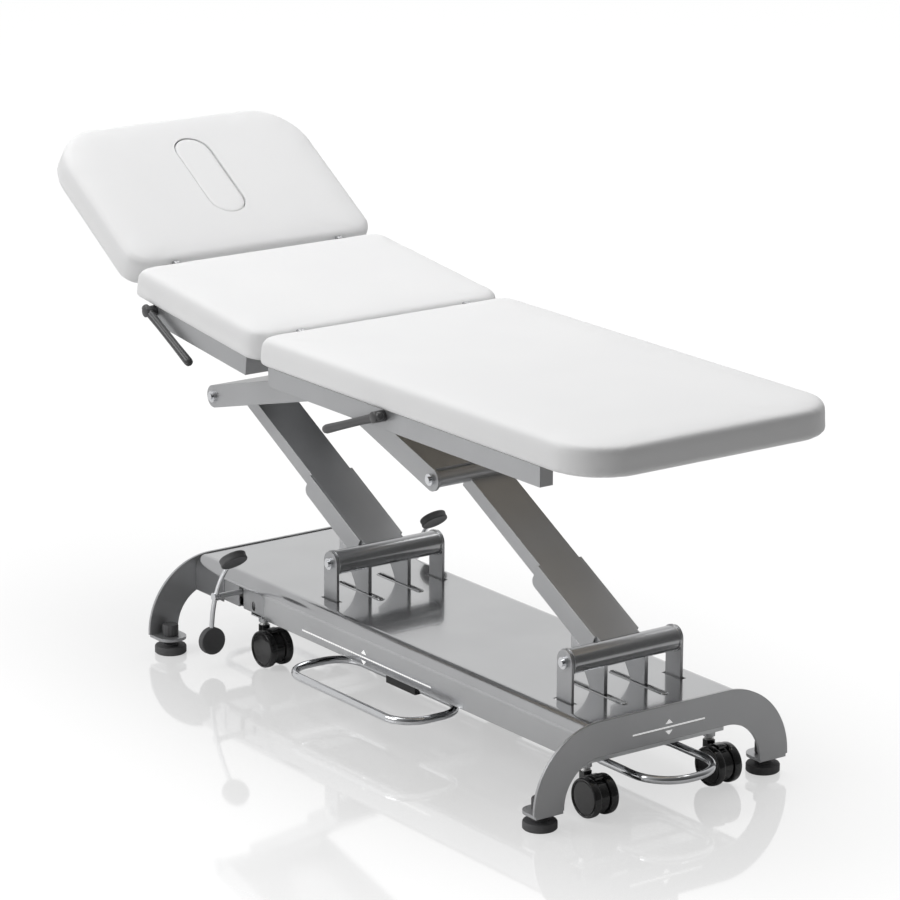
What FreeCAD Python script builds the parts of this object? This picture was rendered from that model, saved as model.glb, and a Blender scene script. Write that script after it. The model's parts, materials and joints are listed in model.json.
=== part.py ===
"""Height-adjustable three-section treatment couch.

Two parallel steel arms carry the top over a low covered chassis. Lengths are in
millimetres. X runs along the couch with the foot end at +X, Y across it, Z up.
While it is modelled, the origin is on the floor under the middle of the chassis.
"""
import FreeCAD
import Part
import math
import os

# Chassis and end plates
plate_outer_x = 674.0          # outer face of each end plate from the middle
plate_thickness = 6.0
plate_half_width = 309.0
plate_top_z = 195.0
plate_band = 70.0              # width of the arched band
plate_leg_bottom_z = 37.0
plate_arc_radius = 155.0
tab_thickness = 6.0
tab_reach = 56.0               # how far a foot tab runs inward from its plate
tab_half_width = 32.0
rail_width = 20.0
rail_height = 46.0
rail_wall = 2.5
rail_bottom_z = 122.0
tie_height = 16.0              # flat cross tubes of the chassis
tie_width = 60.0
tie_wall = 2.5
tie_bottom_z = 114.0
tie_head_x = -550.0            # cross tube ahead of the head castors
guide_thickness = 3.0          # strips that guide the ends of the castor beams
guide_depth = 6.0
guide_top_z = 146.0

# Cover
cover_half_width = 193.0
cover_top_z = 193.0
cover_bottom_z = 118.0
cover_edge_radius = 25.0
cover_wall = 2.0
cover_end_gap = 0.3
window_head_x = -560.0         # cut-out in each side around the castor pedal
window_foot_x = -408.0
window_top_z = 168.0
window_corner = 6.0
slot_width = 14.0              # slots that the arm levers swing in
slot_head_reach = 92.0         # from the lower pivot toward the head end
slot_foot_reach_head = 62.0    # toward the foot end, at the head arm
slot_foot_reach_foot = 80.0    # the same at the foot arm
upright_slot_gap = 5.0

# Lower pivots
lower_pivot_x_head = -245.7
pivot_spacing = 782.5
lower_pivot_z = 270.7
upright_thickness = 6.0
upright_outer_y = 136.0
upright_width = 46.0
upright_top_radius = 25.0
upright_hole = 10.1
lower_pin_radius = 10.0
upper_pin_radius = 8.0
pin_head_radius = 12.0
pin_head_thickness = 6.0
pin_nose_radius = 7.0
pin_nose_thickness = 4.0
side_clearance = 0.3           # between a turning tube and the plates beside it
running_clearance = 0.06

# Lifting arms
arm_length = 504.3             # between the two pivots
arm_rest_angle = 31.1          # above the horizontal, in degrees
arm_face_tilt = 2.8            # the beam leans this much from the line of pivots
beam_half_width = 48.0
beam_front = 21.0              # front face from the lower pivot, across the arm
beam_depth = 30.0
beam_wall = 3.0
beam_foot_gap = 4.0            # beam start from the lower pivot along the arm
sleeve_half_width = 53.5
sleeve_back = 24.0
sleeve_start = 26.0
sleeve_end = 232.0
sleeve_plate = 4.0
sleeve_corner = 14.0
lower_tube_radius = 25.0
lower_flange_radius = 27.0
upper_tube_radius = 18.5
upper_flange_radius = 19.5
flange_width = 4.0
hub_length = 20.0              # solid bushing at each end of a pivot tube
tube_wall = 4.0
lever_thickness = 8.0
lever_foot_edge = 18.0         # straight edge of a lever, foot side of the pivot
lever_head_edge = 20.0         # narrow part of a lever, head side of the pivot
lever_reach = 120.0            # from the lower pivot down to the link pin
lever_end_radius = 12.0
lever_root_x = 86.0            # where the curved edge leaves the arm
lever_root_z = 8.0
lever_curve_x = 46.0           # a point of the curved edge
lever_curve_z = 42.0
lever_neck_z = 96.0            # where the curved edge becomes straight
link_pin_radius = 5.0
link_bar_thickness = 8.0
link_bar_height = 20.0
link_side_gap = 0.6
link_bridge_back = 96.0        # bridge of the link bars from the foot pivot
link_bridge_width = 14.0

# Lift actuator
actuator_above_pin = 7.0
actuator_side = 50.0
actuator_bore_radius = 22.0
actuator_mouth_x = 220.0
actuator_tube_length = 220.0
gearbox_length = 40.0
gearbox_radius = 27.0
motor_length = 120.0
motor_radius = 25.0
actuator_rod_radius = 14.0
actuator_rod_tail_x = 62.0
saddle_length = 40.0
saddle_half_width = 18.0
control_box_length = 134.0
control_box_width = 100.0
control_box_height = 42.0
gland_radius = 9.0
gland_length = 14.0

# Foot bars and their switch boxes
bar_radius = 8.0
bar_z = 80.0
bar_corner = 60.0
end_bar_tip_corner = 78.0      # the end bars' tips are rounder than the rest
end_bar_reach = 91.0           # tube centre beyond the plate's outer face
end_bar_half_width = 85.0
end_bar_axis_x = 535.0
side_bar_half_length = 208.0
side_bar_outer_y = 278.0
side_bar_axis_y = 122.0
switch_box_half_length = 50.0
switch_box_half_width = 13.0
switch_box_bottom_z = 69.0
bar_bore_radius = 8.1

# Levelling feet
foot_x = 644.0
foot_y = 273.0
foot_pad_radius = 33.5
foot_pad_height = 17.0
foot_pad_edge = 2.5
foot_neck_radius = 13.0
foot_screw_radius = 6.0
foot_hole_radius = 6.1
foot_knob_radius = 17.0
foot_knob_height = 25.0

# Castors
castor_x_head = -469.0
castor_x_foot = 625.0
castor_y = 151.0
castor_trail = 30.0
wheel_radius = 39.5
wheel_lift = 2.5               # height of the raised wheels above the floor
wheel_inner_y = 11.0
wheel_outer_y = 29.0
wheel_edge = 3.0
wheel_dish_radius = 29.5
wheel_dish_depth = 1.5
wheel_axle_radius = 5.0
castor_body_half_width = 9.5
castor_body_radius = 34.0
fender_inner_radius = 37.0
fender_thickness = 4.5
fender_half_width = 9.5
fender_top_z = 84.0
castor_boss_radius = 12.0
castor_stem_radius = 5.5
castor_stem_top_z = 116.0
castor_socket_radius = 12.0
castor_socket_bottom_z = 92.0
beam_width = 40.0              # castor beam across the couch
beam_bottom_z = 104.0
castor_beam_wall = 3.0

# Castor pedal and cam shafts
pedal_shaft_x = -495.0
foot_cam_shaft_x = 619.0
pedal_shaft_z = 157.0
pedal_shaft_radius = 6.0
pedal_rod_y = 255.0
pedal_rod_radius = 5.0
pedal_arc_radius = 243.5
pedal_arc_lean = 21.0          # the arc's middle leans back by this angle, degrees
pedal_upper_reach = 28.5       # angle from the shaft to the upper pad, degrees
pedal_lower_reach = 24.0
pedal_pad_radius = 29.0
pedal_pad_thickness = 16.0
pedal_pad_edge = 3.0
pedal_hub_radius = 9.0
pedal_hub_width = 12.0
cam_radius = 26.0
cam_offset = 18.0
cam_y = 118.0
cam_width = 12.0
cam_gap = 0.3
crank_reach = 20.0
crank_eye_radius = 8.0
crank_inner_y = 140.0
crank_thickness = 6.0
transfer_pin_radius = 4.0
transfer_bar_thickness = 5.0
transfer_bar_height = 12.0
pedal_slot_width = 16.0        # slot in the chassis rail for the shaft
pedal_slot_top_z = 166.0
bush_height = 20.0
bush_radius = 10.0             # round bushes of the foot cam shaft
hand_hole_x = -449.0
hand_hole_z = 136.0
hand_hole_half_length = 4.0
hand_hole_radius = 6.0

# Lift brackets under the top
bracket_outer_y = 137.0
bracket_thickness = 6.0
bracket_half_height = 24.0
bracket_web = 4.0
bracket_angle_head = 14.3      # rise toward the foot end, degrees
bracket_angle_foot = 18.4      # rise toward the head end, degrees
frame_above_pivot = 142.2      # top frame's underside above the upper pivots
hinge_from_pivot = 431.5       # backrest hinge from the head arm's upper pivot
bracket_joint = 42.0           # where the brackets meet, from the hinge

# Top frames
tube_height = 40.0
tube_width = 30.0
frame_tube_wall = 2.5
frame_half_width = 299.5
leg_frame_start = 22.5         # from the backrest hinge
leg_frame_length = 891.0
leg_tie_from_start = 430.0
leg_rail_overhang = 100.0      # rails past the last cross tube
vent_radius = 3.0
vent_from_end = 30.0
mid_frame_start = 50.0
mid_frame_end = 400.0
hinge_tie_length = 98.5        # short cross tubes that carry the hinge leaves
spring_bar_start = 214.0
spring_bar_width = 28.0
head_tube = 25.0
head_frame_start = 76.0
head_frame_end = 330.0
head_frame_half_width = 215.0
leaf_thickness = 6.0
leaf_y = 200.0
leaf_gap = 0.5
leaf_half_width = 8.0
leaf_foot_height = 30.0
hinge_pin_radius = 4.0

# Pads and boards
pad_half_width = 310.0
pad_gap = 5.0                  # between two pads when they lie flat
pad_depth = 67.2               # thickness at the crown
hinge_depth = 15.0             # hinge axis below the pads' crown
leg_pad_length = 1068.0
mid_pad_length = 460.0
head_pad_length = 420.0
leg_corner = 112.0
head_corner = 120.0
inner_corner = 46.0            # rounded ends toward the foot
square_corner = 12.0           # square ends toward the head
crown_corner = 46.0            # a square corner's radius up at the crown
mid_rest_tilt = 6.63           # above the horizontal, degrees
head_rest_tilt = 32.4
board_thickness = 9.0
board_inset = 18.0
board_clearance = 0.3
pocket_depth = 12.0            # room in the pad ends for the hinge leaves
pocket_side = 2.0
plug_length = 235.0
plug_width = 88.0
plug_from_hinge = 112.0
plug_gap = 1.2
plug_edge = 3.0
air_hole_width = 72.0
air_hole_length = 219.0

# Gas springs and release levers
spring_y = 153.0
spring_low_from_hinge = 9.0
spring_low_drop = 133.6
spring_top_u = 200.0
spring_top_w = 75.0
spring_cylinder_radius = 12.6
spring_bore_radius = 10.8
spring_cylinder_length = 150.0
spring_rod_radius = 4.0
spring_rod_length = 175.0
spring_eye_radius = 9.0
spring_eye_half_width = 6.0
spring_pin_radius = 4.0
spring_pin_gap = 1.0
head_spring_y = 100.0
head_spring_arm_u = 45.0       # mid section's pin back from the head hinge
head_spring_arm_w = 85.0
head_spring_top_u = 60.0
head_spring_cylinder_radius = 9.0
head_spring_bore_radius = 7.0
head_spring_cylinder_length = 75.0
head_spring_rod_length = 84.0
ear_thickness = 6.0
ear_radius = 9.0
grip_radius = 9.3
grip_stand = 16.5              # from the frame's side to the grip's middle
grip_droop = 20.0
leg_grip_length = 205.0
mid_grip_length = 195.0
leg_lever_from_hinge = 420.0
leg_lever_drop = 12.6          # lever pivot below the pads' underside
mid_lever_u = 392.0
mid_lever_drop = 12.6
lever_hub_radius = 11.5
lever_shaft_radius = 5.0
lever_shaft_length = 46.0
grip_overhang = 18.0

overrun = 5.0                  # how far every cutting shape passes a face

# Places that follow from the sizes above
plate_inner_x = plate_outer_x - plate_thickness
rail_outer_y = cover_half_width - cover_wall - side_clearance
rail_inner_y = rail_outer_y - rail_width
tie_top_z = tie_bottom_z + tie_height
lower_pivot_x_foot = lower_pivot_x_head + pivot_spacing
arm_run = arm_length * math.cos(math.radians(arm_rest_angle))
arm_rise = arm_length * math.sin(math.radians(arm_rest_angle))
upper_pivot_x_head = lower_pivot_x_head - arm_run
upper_pivot_x_foot = lower_pivot_x_foot - arm_run
upper_pivot_z = lower_pivot_z + arm_rise
link_pin_z = lower_pivot_z - lever_reach
actuator_z = link_pin_z + actuator_above_pin
hinge_x = upper_pivot_x_head + hinge_from_pivot
frame_bottom_z = upper_pivot_z + frame_above_pivot
grip_y = frame_half_width + grip_stand
frame_top_z = frame_bottom_z + tube_height
pad_bottom_z = frame_top_z + board_clearance
hinge_z = pad_bottom_z + pad_depth - hinge_depth
pad_bottom_w = hinge_depth - pad_depth
frame_top_w = pad_bottom_w - board_clearance
mid_hinge_u = mid_pad_length + pad_gap
cam_shaft_z = pedal_shaft_z
castor_beam_top_z = pedal_shaft_z - cam_radius - cam_gap
wheel_z = wheel_radius + wheel_lift
transfer_z = pedal_shaft_z + crank_reach
transfer_y = crank_inner_y + crank_thickness
bracket_joint_x = hinge_x + bracket_joint
head_spring_top_w = math.sqrt(
    head_spring_arm_u ** 2 + head_spring_arm_w ** 2 - head_spring_top_u ** 2)
end_bar_tip_x = plate_outer_x + end_bar_reach

nodes = {}


def vec(x, y, z):
    return FreeCAD.Vector(x, y, z)


def block(x0, x1, y0, y1, z0, z1):
    """Box between two corners, given in any order."""
    low = vec(min(x0, x1), min(y0, y1), min(z0, z1))
    return Part.makeBox(abs(x1 - x0), abs(y1 - y0), abs(z1 - z0), low)


def rod(radius, start, end):
    axis = end.sub(start)
    return Part.makeCylinder(radius, axis.Length, start, axis)


def y_rod(radius, x, z, y0, y1):
    """Round bar that lies across the couch."""
    return rod(radius, vec(x, min(y0, y1), z), vec(x, max(y0, y1), z))


def outline(corners, place):
    """Closed wire through corners (p, q, radius), each rounded by its radius."""
    count = len(corners)
    spots = [vec(p, q, 0) for p, q, radius in corners]
    stops = []
    for index, (p, q, radius) in enumerate(corners):
        corner = spots[index]
        if radius == 0:
            stops.append((corner, None, corner))
            continue
        back = spots[index - 1].sub(corner).normalize()
        ahead = spots[(index + 1) % count].sub(corner).normalize()
        half = back.getAngle(ahead) / 2
        middle = back.add(ahead).normalize()
        run = radius / math.tan(half)
        near = corner.add(middle * (radius / math.sin(half) - radius))
        stops.append((corner.add(back * run), near, corner.add(ahead * run)))
    edges = []
    for index, (start, near, end) in enumerate(stops):
        if near is not None:
            arc = Part.Arc(place(start), place(near), place(end))
            edges.append(arc.toShape())
        following = stops[(index + 1) % count][0]
        if end.distanceToPoint(following) > overrun / 1000:
            edges.append(Part.makeLine(place(end), place(following)))
    return Part.Wire(edges)


def plate_xz(corners, y0, y1):
    """Plate across Y whose outline is in X and Z."""
    low = min(y0, y1)
    wire = outline(corners, lambda s: vec(s.x, low, s.y))
    return Part.Face(wire).extrude(vec(0, abs(y1 - y0), 0))


def plate_yz(corners, x0, x1):
    low = min(x0, x1)
    wire = outline(corners, lambda s: vec(low, s.x, s.y))
    return Part.Face(wire).extrude(vec(abs(x1 - x0), 0, 0))


def plate_xy(corners, z0, z1):
    low = min(z0, z1)
    wire = outline(corners, lambda s: vec(s.x, s.y, low))
    return Part.Face(wire).extrude(vec(0, 0, abs(z1 - z0)))


def square_tube_x(x0, x1, y0, y1, z0, z1, wall):
    """Open-ended rectangular tube along X."""
    low_y, high_y = min(y0, y1), max(y0, y1)
    hollow = block(x0 - overrun, x1 + overrun, low_y + wall, high_y - wall,
                   z0 + wall, z1 - wall)
    return block(x0, x1, low_y, high_y, z0, z1).cut(hollow)


def capped_tube_x(x0, x1, y0, y1, z0, z1, wall):
    """Rectangular tube along X with welded caps and a vent in its floor."""
    low_y, high_y = min(y0, y1), max(y0, y1)
    hollow = block(x0 + wall, x1 - wall, low_y + wall, high_y - wall, z0 + wall, z1 - wall)
    vent = Part.makeCylinder(vent_radius, 2 * wall,
                             vec(x1 - vent_from_end, (y0 + y1) / 2, z0 - wall / 2))
    return block(x0, x1, low_y, high_y, z0, z1).cut([hollow, vent])


def square_tube_y(x0, x1, y0, y1, z0, z1, wall):
    """Open-ended rectangular tube along Y."""
    low_y, high_y = min(y0, y1), max(y0, y1)
    hollow = block(x0 + wall, x1 - wall, low_y - overrun, high_y + overrun,
                   z0 + wall, z1 - wall)
    return block(x0, x1, low_y, high_y, z0, z1).cut(hollow)


def eye_bar(start_x, end_x, radius, bore, y0, y1, z):
    """Flat bar along X with a round eye and a bore at each end."""
    corners = [(start_x - radius, z - radius, radius), (end_x + radius, z - radius, radius),
               (end_x + radius, z + radius, radius), (start_x - radius, z + radius, radius)]
    bar = plate_xz(corners, y0, y1)
    for x in (start_x, end_x):
        bar = bar.cut(y_rod(bore, x, z, min(y0, y1) - overrun, max(y0, y1) + overrun))
    return bar


def turned(shape, x, z, degrees):
    """The shape turned about an axis across the couch at x, z; +X turns down."""
    copy = shape.copy()
    copy.rotate(vec(x, 0, z), vec(0, 1, 0), degrees)
    return copy


def one(shape):
    """The single solid of a shape."""
    return shape.removeSplitter().Solids[0]


def group(shapes):
    return Part.makeCompound(shapes)


def both_sides(make):
    """The same piece made for the near side (-1) and the far side (+1)."""
    return [make(-1), make(1)]


# Chassis: end plates, rails, cross tubes and castor guides
def end_plate(side):
    half = plate_half_width
    inner = half - plate_band
    inner_radius = plate_arc_radius - plate_band
    low = plate_leg_bottom_z
    band_bottom = plate_top_z - plate_band
    corners = [(-half, low, 0), (-half, plate_top_z, plate_arc_radius),
               (half, plate_top_z, plate_arc_radius), (half, low, 0),
               (inner, low, 0), (inner, band_bottom, inner_radius),
               (-inner, band_bottom, inner_radius), (-inner, low, 0)]
    plate = plate_yz(corners, side * plate_inner_x, side * plate_outer_x)
    for hand in (-1, 1):
        plate = plate.fuse(foot_tab(side, hand))
    return one(plate)


def foot_tab(side, hand):
    """Rounded tab that takes a levelling foot, under one leg of an end plate."""
    tip = plate_inner_x - tab_reach
    low = plate_leg_bottom_z - tab_thickness
    near = hand * (foot_y - tab_half_width)
    far = hand * (foot_y + tab_half_width)
    corners = [(side * plate_outer_x, near, 0), (side * tip, near, tab_half_width * 0.9),
               (side * tip, far, tab_half_width * 0.9), (side * plate_outer_x, far, 0)]
    tab = plate_xy(corners, low, plate_leg_bottom_z)
    centre = vec(side * foot_x, hand * foot_y, low - overrun)
    hole = Part.makeCylinder(foot_hole_radius, tab_thickness + 2 * overrun, centre)
    return tab.cut(hole)


def chassis_rail(hand):
    rail = square_tube_x(-plate_inner_x, plate_inner_x, hand * rail_inner_y,
                         hand * rail_outer_y, rail_bottom_z, rail_bottom_z + rail_height,
                         rail_wall)
    inner = hand * (rail_inner_y - overrun)
    outer = hand * (rail_outer_y + overrun)
    half = pedal_slot_width / 2
    rail = rail.cut(block(pedal_shaft_x - half, pedal_shaft_x + half, inner, outer,
                          rail_bottom_z - overrun, pedal_slot_top_z))
    rail = rail.cut(y_rod(bush_radius, foot_cam_shaft_x, cam_shaft_z,
                          hand * (rail_inner_y - overrun), hand * (rail_inner_y + rail_wall)))
    hole = [(hand_hole_x - hand_hole_radius, hand_hole_z - hand_hole_half_length
             - hand_hole_radius, hand_hole_radius),
            (hand_hole_x + hand_hole_radius, hand_hole_z - hand_hole_half_length
             - hand_hole_radius, hand_hole_radius),
            (hand_hole_x + hand_hole_radius, hand_hole_z + hand_hole_half_length
             + hand_hole_radius, hand_hole_radius),
            (hand_hole_x - hand_hole_radius, hand_hole_z + hand_hole_half_length
             + hand_hole_radius, hand_hole_radius)]
    return rail.cut(plate_xz(hole, inner, outer))


def chassis_tie(x):
    half = tie_width / 2
    return square_tube_y(x - half, x + half, -rail_inner_y, rail_inner_y,
                         tie_bottom_z, tie_top_z, tie_wall)


def beam_guides(x):
    """Strips on the rails that keep a castor beam upright as it slides."""
    half = beam_width / 2 + side_clearance
    strips = []
    for hand in (-1, 1):
        for side in (-1, 1):
            strips.append(block(x + side * half, x + side * (half + guide_thickness),
                                hand * (rail_inner_y - guide_depth), hand * rail_inner_y,
                                rail_bottom_z, guide_top_z))
    return strips


def chassis_frame():
    pieces = both_sides(chassis_rail)
    for x in (tie_head_x, lower_pivot_x_head, 0, lower_pivot_x_foot):
        pieces.append(chassis_tie(x))
    pieces += beam_guides(castor_x_head) + beam_guides(castor_x_foot)
    return group(pieces)


def shaft_bushes():
    """Plastic blocks that carry the two cam shafts in the chassis rails."""
    bore = pedal_shaft_radius + running_clearance
    blocks = []
    for hand in (-1, 1):
        half = pedal_slot_width / 2
        piece = block(pedal_shaft_x - half, pedal_shaft_x + half, hand * rail_inner_y,
                      hand * rail_outer_y, pedal_slot_top_z - bush_height, pedal_slot_top_z)
        blocks.append(piece.cut(y_rod(bore, pedal_shaft_x, pedal_shaft_z,
                                      hand * (rail_inner_y - overrun),
                                      hand * (rail_outer_y + overrun))))
        ring = y_rod(bush_radius - running_clearance, foot_cam_shaft_x, cam_shaft_z,
                     hand * (rail_inner_y - rail_wall), hand * (rail_inner_y + rail_wall))
        blocks.append(ring.cut(y_rod(bore, foot_cam_shaft_x, cam_shaft_z,
                                     hand * (rail_inner_y - 2 * overrun),
                                     hand * (rail_inner_y + 2 * overrun))))
    return group(blocks)


# Cover: one folded sheet over the chassis, with its slots
def base_cover():
    half = cover_half_width
    radius = cover_edge_radius
    length = plate_inner_x - cover_end_gap
    corners = [(-half, cover_bottom_z, 0), (-half, cover_top_z, radius),
               (half, cover_top_z, radius), (half, cover_bottom_z, 0)]
    shell = plate_yz(corners, -length, length)
    inner = half - cover_wall
    top = cover_top_z - cover_wall
    low = cover_bottom_z - overrun
    corners = [(-inner, low, 0), (-inner, top, radius - cover_wall),
               (inner, top, radius - cover_wall), (inner, low, 0)]
    shell = shell.cut(plate_yz(corners, -length - overrun, length + overrun))
    for cut in cover_cuts():
        shell = shell.cut(cut)
    return one(shell)


def cover_cuts():
    cuts = []
    under = cover_top_z - cover_wall - overrun
    above = cover_top_z + overrun
    pivots = ((lower_pivot_x_head, slot_foot_reach_head),
              (lower_pivot_x_foot, slot_foot_reach_foot))
    for pivot_x, reach in pivots:
        for hand in (-1, 1):
            middle = hand * (sleeve_half_width - lever_thickness / 2)
            half = slot_width / 2
            ends = (pivot_x - slot_head_reach, pivot_x + reach)
            corners = [(ends[0], middle - half, half), (ends[1], middle - half, half),
                       (ends[1], middle + half, half), (ends[0], middle + half, half)]
            cuts.append(plate_xy(corners, under, above))
            wide = upright_width / 2 + upright_slot_gap
            cuts.append(block(pivot_x - wide, pivot_x + wide,
                              hand * (upright_outer_y - upright_thickness - upright_slot_gap),
                              hand * (upright_outer_y + upright_slot_gap), under, above))
    for hand in (-1, 1):
        low = cover_bottom_z - overrun
        corners = [(window_head_x, low, 0), (window_head_x, window_top_z, window_corner),
                   (window_foot_x, window_top_z, window_corner), (window_foot_x, low, 0)]
        cuts.append(plate_xz(corners, hand * (cover_half_width - cover_wall - overrun),
                             hand * (cover_half_width + overrun)))
    return cuts


# Lower pivots: four uprights and two pins
def upright(pivot_x, hand):
    half = upright_width / 2
    top = lower_pivot_z + upright_top_radius
    radius = half
    corners = [(pivot_x - half, tie_top_z, 0), (pivot_x - half, top, radius),
               (pivot_x + half, top, radius), (pivot_x + half, tie_top_z, 0)]
    plate = plate_xz(corners, hand * (upright_outer_y - upright_thickness),
                     hand * upright_outer_y)
    return plate.cut(y_rod(upright_hole, pivot_x, lower_pivot_z, -upright_outer_y - overrun,
                           upright_outer_y + overrun))


def lower_pivot_uprights():
    return group([upright(x, hand) for x in (lower_pivot_x_head, lower_pivot_x_foot)
                  for hand in (-1, 1)])


def headed_pin(x, z, radius, face_y):
    """Pin across two plates, with a round head and a nose on each outer face."""
    pin = y_rod(radius, x, z, -face_y, face_y)
    head_end = face_y + pin_head_thickness
    nose_end = head_end + pin_nose_thickness
    for hand in (-1, 1):
        pin = pin.fuse(y_rod(pin_head_radius, x, z, hand * face_y, hand * head_end))
        pin = pin.fuse(y_rod(pin_nose_radius, x, z, hand * head_end, hand * nose_end))
    return one(pin)


def lower_pivot_pins():
    return group([headed_pin(x, lower_pivot_z, lower_pin_radius, upright_outer_y)
                  for x in (lower_pivot_x_head, lower_pivot_x_foot)])


def upper_pivot_pins():
    return group([headed_pin(x, upper_pivot_z, upper_pin_radius, bracket_outer_y)
                  for x in (upper_pivot_x_head, upper_pivot_x_foot)])


# Lifting arms: beam, sleeve, pivot tubes and levers
def pivot_tube(x, z, radius, flange, bore, face_y):
    """Tube on a pivot pin, with a flange ring and a solid bushing at each end."""
    end = face_y - side_clearance
    tube = y_rod(radius, x, z, -end, end)
    for hand in (-1, 1):
        tube = tube.fuse(y_rod(flange, x, z, hand * (end - flange_width), hand * end))
    hollow = end - hub_length
    tube = tube.cut(y_rod(radius - tube_wall, x, z, -hollow, hollow))
    return one(tube.cut(y_rod(bore, x, z, -end - overrun, end + overrun)))


def along_arm(shape, pivot_x):
    """Put a shape drawn level, with the arm toward -X, at its lower pivot and angle."""
    copy = shape.copy()
    copy.translate(vec(pivot_x, 0, lower_pivot_z))
    return turned(copy, pivot_x, lower_pivot_z, arm_rest_angle - arm_face_tilt)


def arm_parts(pivot_x):
    tilt = math.radians(arm_face_tilt)
    reach = arm_length * math.cos(tilt)
    front = beam_front
    back = beam_front - beam_depth
    beam = square_tube_x(-reach, -beam_foot_gap, -beam_half_width, beam_half_width,
                         back, front, beam_wall)
    beam = along_arm(beam, pivot_x)
    top_x = pivot_x - arm_run
    span = beam_half_width + overrun
    beam = beam.cut(y_rod(lower_tube_radius, pivot_x, lower_pivot_z, -span, span))
    beam = beam.cut(y_rod(upper_tube_radius, top_x, upper_pivot_z, -span, span))
    inner_y = upright_outer_y - upright_thickness
    lower = pivot_tube(pivot_x, lower_pivot_z, lower_tube_radius, lower_flange_radius,
                       lower_pin_radius + running_clearance, inner_y)
    upper = pivot_tube(top_x, upper_pivot_z, upper_tube_radius, upper_flange_radius,
                       upper_pin_radius + running_clearance,
                       bracket_outer_y - bracket_thickness)
    sleeve = arm_sleeve(pivot_x)
    levers = [arm_lever(pivot_x, hand) for hand in (-1, 1)]
    return one(beam), sleeve, lower, upper, levers


def arm_sleeve(pivot_x):
    """Welded channel that stiffens the lower half of an arm from behind."""
    back = -sleeve_back
    corners = [(-sleeve_end, back, sleeve_corner), (-sleeve_start, back, 0),
               (-sleeve_start, beam_front, 0), (-sleeve_end, beam_front, 0)]
    block_shape = plate_xz(corners, -sleeve_half_width, sleeve_half_width)
    room = block(-sleeve_end - overrun, -sleeve_start + overrun, -beam_half_width,
                 beam_half_width, back + sleeve_plate, beam_front + overrun)
    sleeve = along_arm(block_shape.cut(room), pivot_x)
    span = sleeve_half_width + overrun
    return one(sleeve.cut(y_rod(lower_tube_radius, pivot_x, lower_pivot_z, -span, span)))


def arm_lever(pivot_x, hand):
    """Curved lever below a pivot tube, with the pin that pulls the link bar."""
    outer = sleeve_half_width
    inner = outer - lever_thickness
    y0 = hand * inner
    z = lower_pivot_z
    foot_x = pivot_x + lever_foot_edge
    head_x = pivot_x - lever_head_edge
    end_z = z - lever_reach - lever_end_radius
    radius = (lever_foot_edge + lever_head_edge) / 2

    def spot(x, height):
        return vec(x, y0, height)

    curve_top = spot(pivot_x - lever_root_x, z - lever_root_z)
    curve_mid = spot(pivot_x - lever_curve_x, z - lever_curve_z)
    curve_end = spot(head_x, z - lever_neck_z)
    middle_x = (foot_x + head_x) / 2
    edges = [Part.makeLine(spot(foot_x, z), spot(foot_x, end_z + radius)),
             Part.Arc(spot(foot_x, end_z + radius), spot(middle_x, end_z),
                      spot(head_x, end_z + radius)).toShape(),
             Part.makeLine(spot(head_x, end_z + radius), curve_end),
             Part.Arc(curve_end, curve_mid, curve_top).toShape(),
             Part.makeLine(curve_top, spot(pivot_x - lever_root_x, z + beam_front)),
             Part.makeLine(spot(pivot_x - lever_root_x, z + beam_front),
                           spot(pivot_x, z + beam_front)),
             Part.makeLine(spot(pivot_x, z + beam_front), spot(foot_x, z))]
    lever = Part.Face(Part.Wire(edges)).extrude(vec(0, hand * lever_thickness, 0))
    room = block(-sleeve_end, overrun, -outer - overrun, outer + overrun,
                 -sleeve_back, beam_front + 2 * lever_root_x)
    lever = lever.cut(along_arm(room, pivot_x))
    lever = lever.cut(y_rod(lower_tube_radius, pivot_x, z, -outer - overrun,
                            outer + overrun))
    stud_end = inner - link_side_gap - link_bar_thickness
    pin = y_rod(link_pin_radius, pivot_x, link_pin_z, hand * stud_end, hand * inner)
    largest = max(lever.Solids, key=lambda solid: solid.Volume)
    return one(largest.fuse(pin))


# Link bars inside the chassis, with the actuator's rod
def link_bars():
    outer = sleeve_half_width - lever_thickness - link_side_gap
    inner = outer - link_bar_thickness
    bore = link_pin_radius + running_clearance
    bars = [eye_bar(lower_pivot_x_head, lower_pivot_x_foot, link_bar_height / 2, bore,
                    hand * inner, hand * outer, link_pin_z) for hand in (-1, 1)]
    bridge_x = lower_pivot_x_foot - link_bridge_back
    bridge = block(bridge_x - link_bridge_width, bridge_x, -inner, inner,
                   link_pin_z - link_bar_height / 2, link_pin_z + link_bar_height / 2)
    return group(bars + [bridge])


def actuator_rod():
    end_x = lower_pivot_x_foot - link_bridge_back - link_bridge_width
    return rod(actuator_rod_radius, vec(actuator_rod_tail_x, 0, link_pin_z),
               vec(end_x, 0, link_pin_z))


def actuator_housing():
    """Outer tube, gearbox, motor and saddle of the lift actuator."""
    half = actuator_side / 2
    back_x = actuator_mouth_x - actuator_tube_length
    tube = block(back_x, actuator_mouth_x, -half, half, actuator_z - half, actuator_z + half)
    bore = rod(actuator_bore_radius, vec(back_x + tie_wall, 0, actuator_z),
               vec(actuator_mouth_x + overrun, 0, actuator_z))
    tube = tube.cut(bore)
    gearbox = rod(gearbox_radius, vec(back_x - gearbox_length, 0, actuator_z),
                  vec(back_x, 0, actuator_z))
    motor_end = back_x - gearbox_length - motor_length
    motor = rod(motor_radius, vec(motor_end, 0, actuator_z),
                vec(back_x - gearbox_length, 0, actuator_z))
    floor_z = tie_top_z
    saddle = block(back_x, back_x + saddle_length / 2 + overrun, -saddle_half_width,
                   saddle_half_width, floor_z, actuator_z - half)
    return group([tube, gearbox, motor, saddle])


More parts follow.
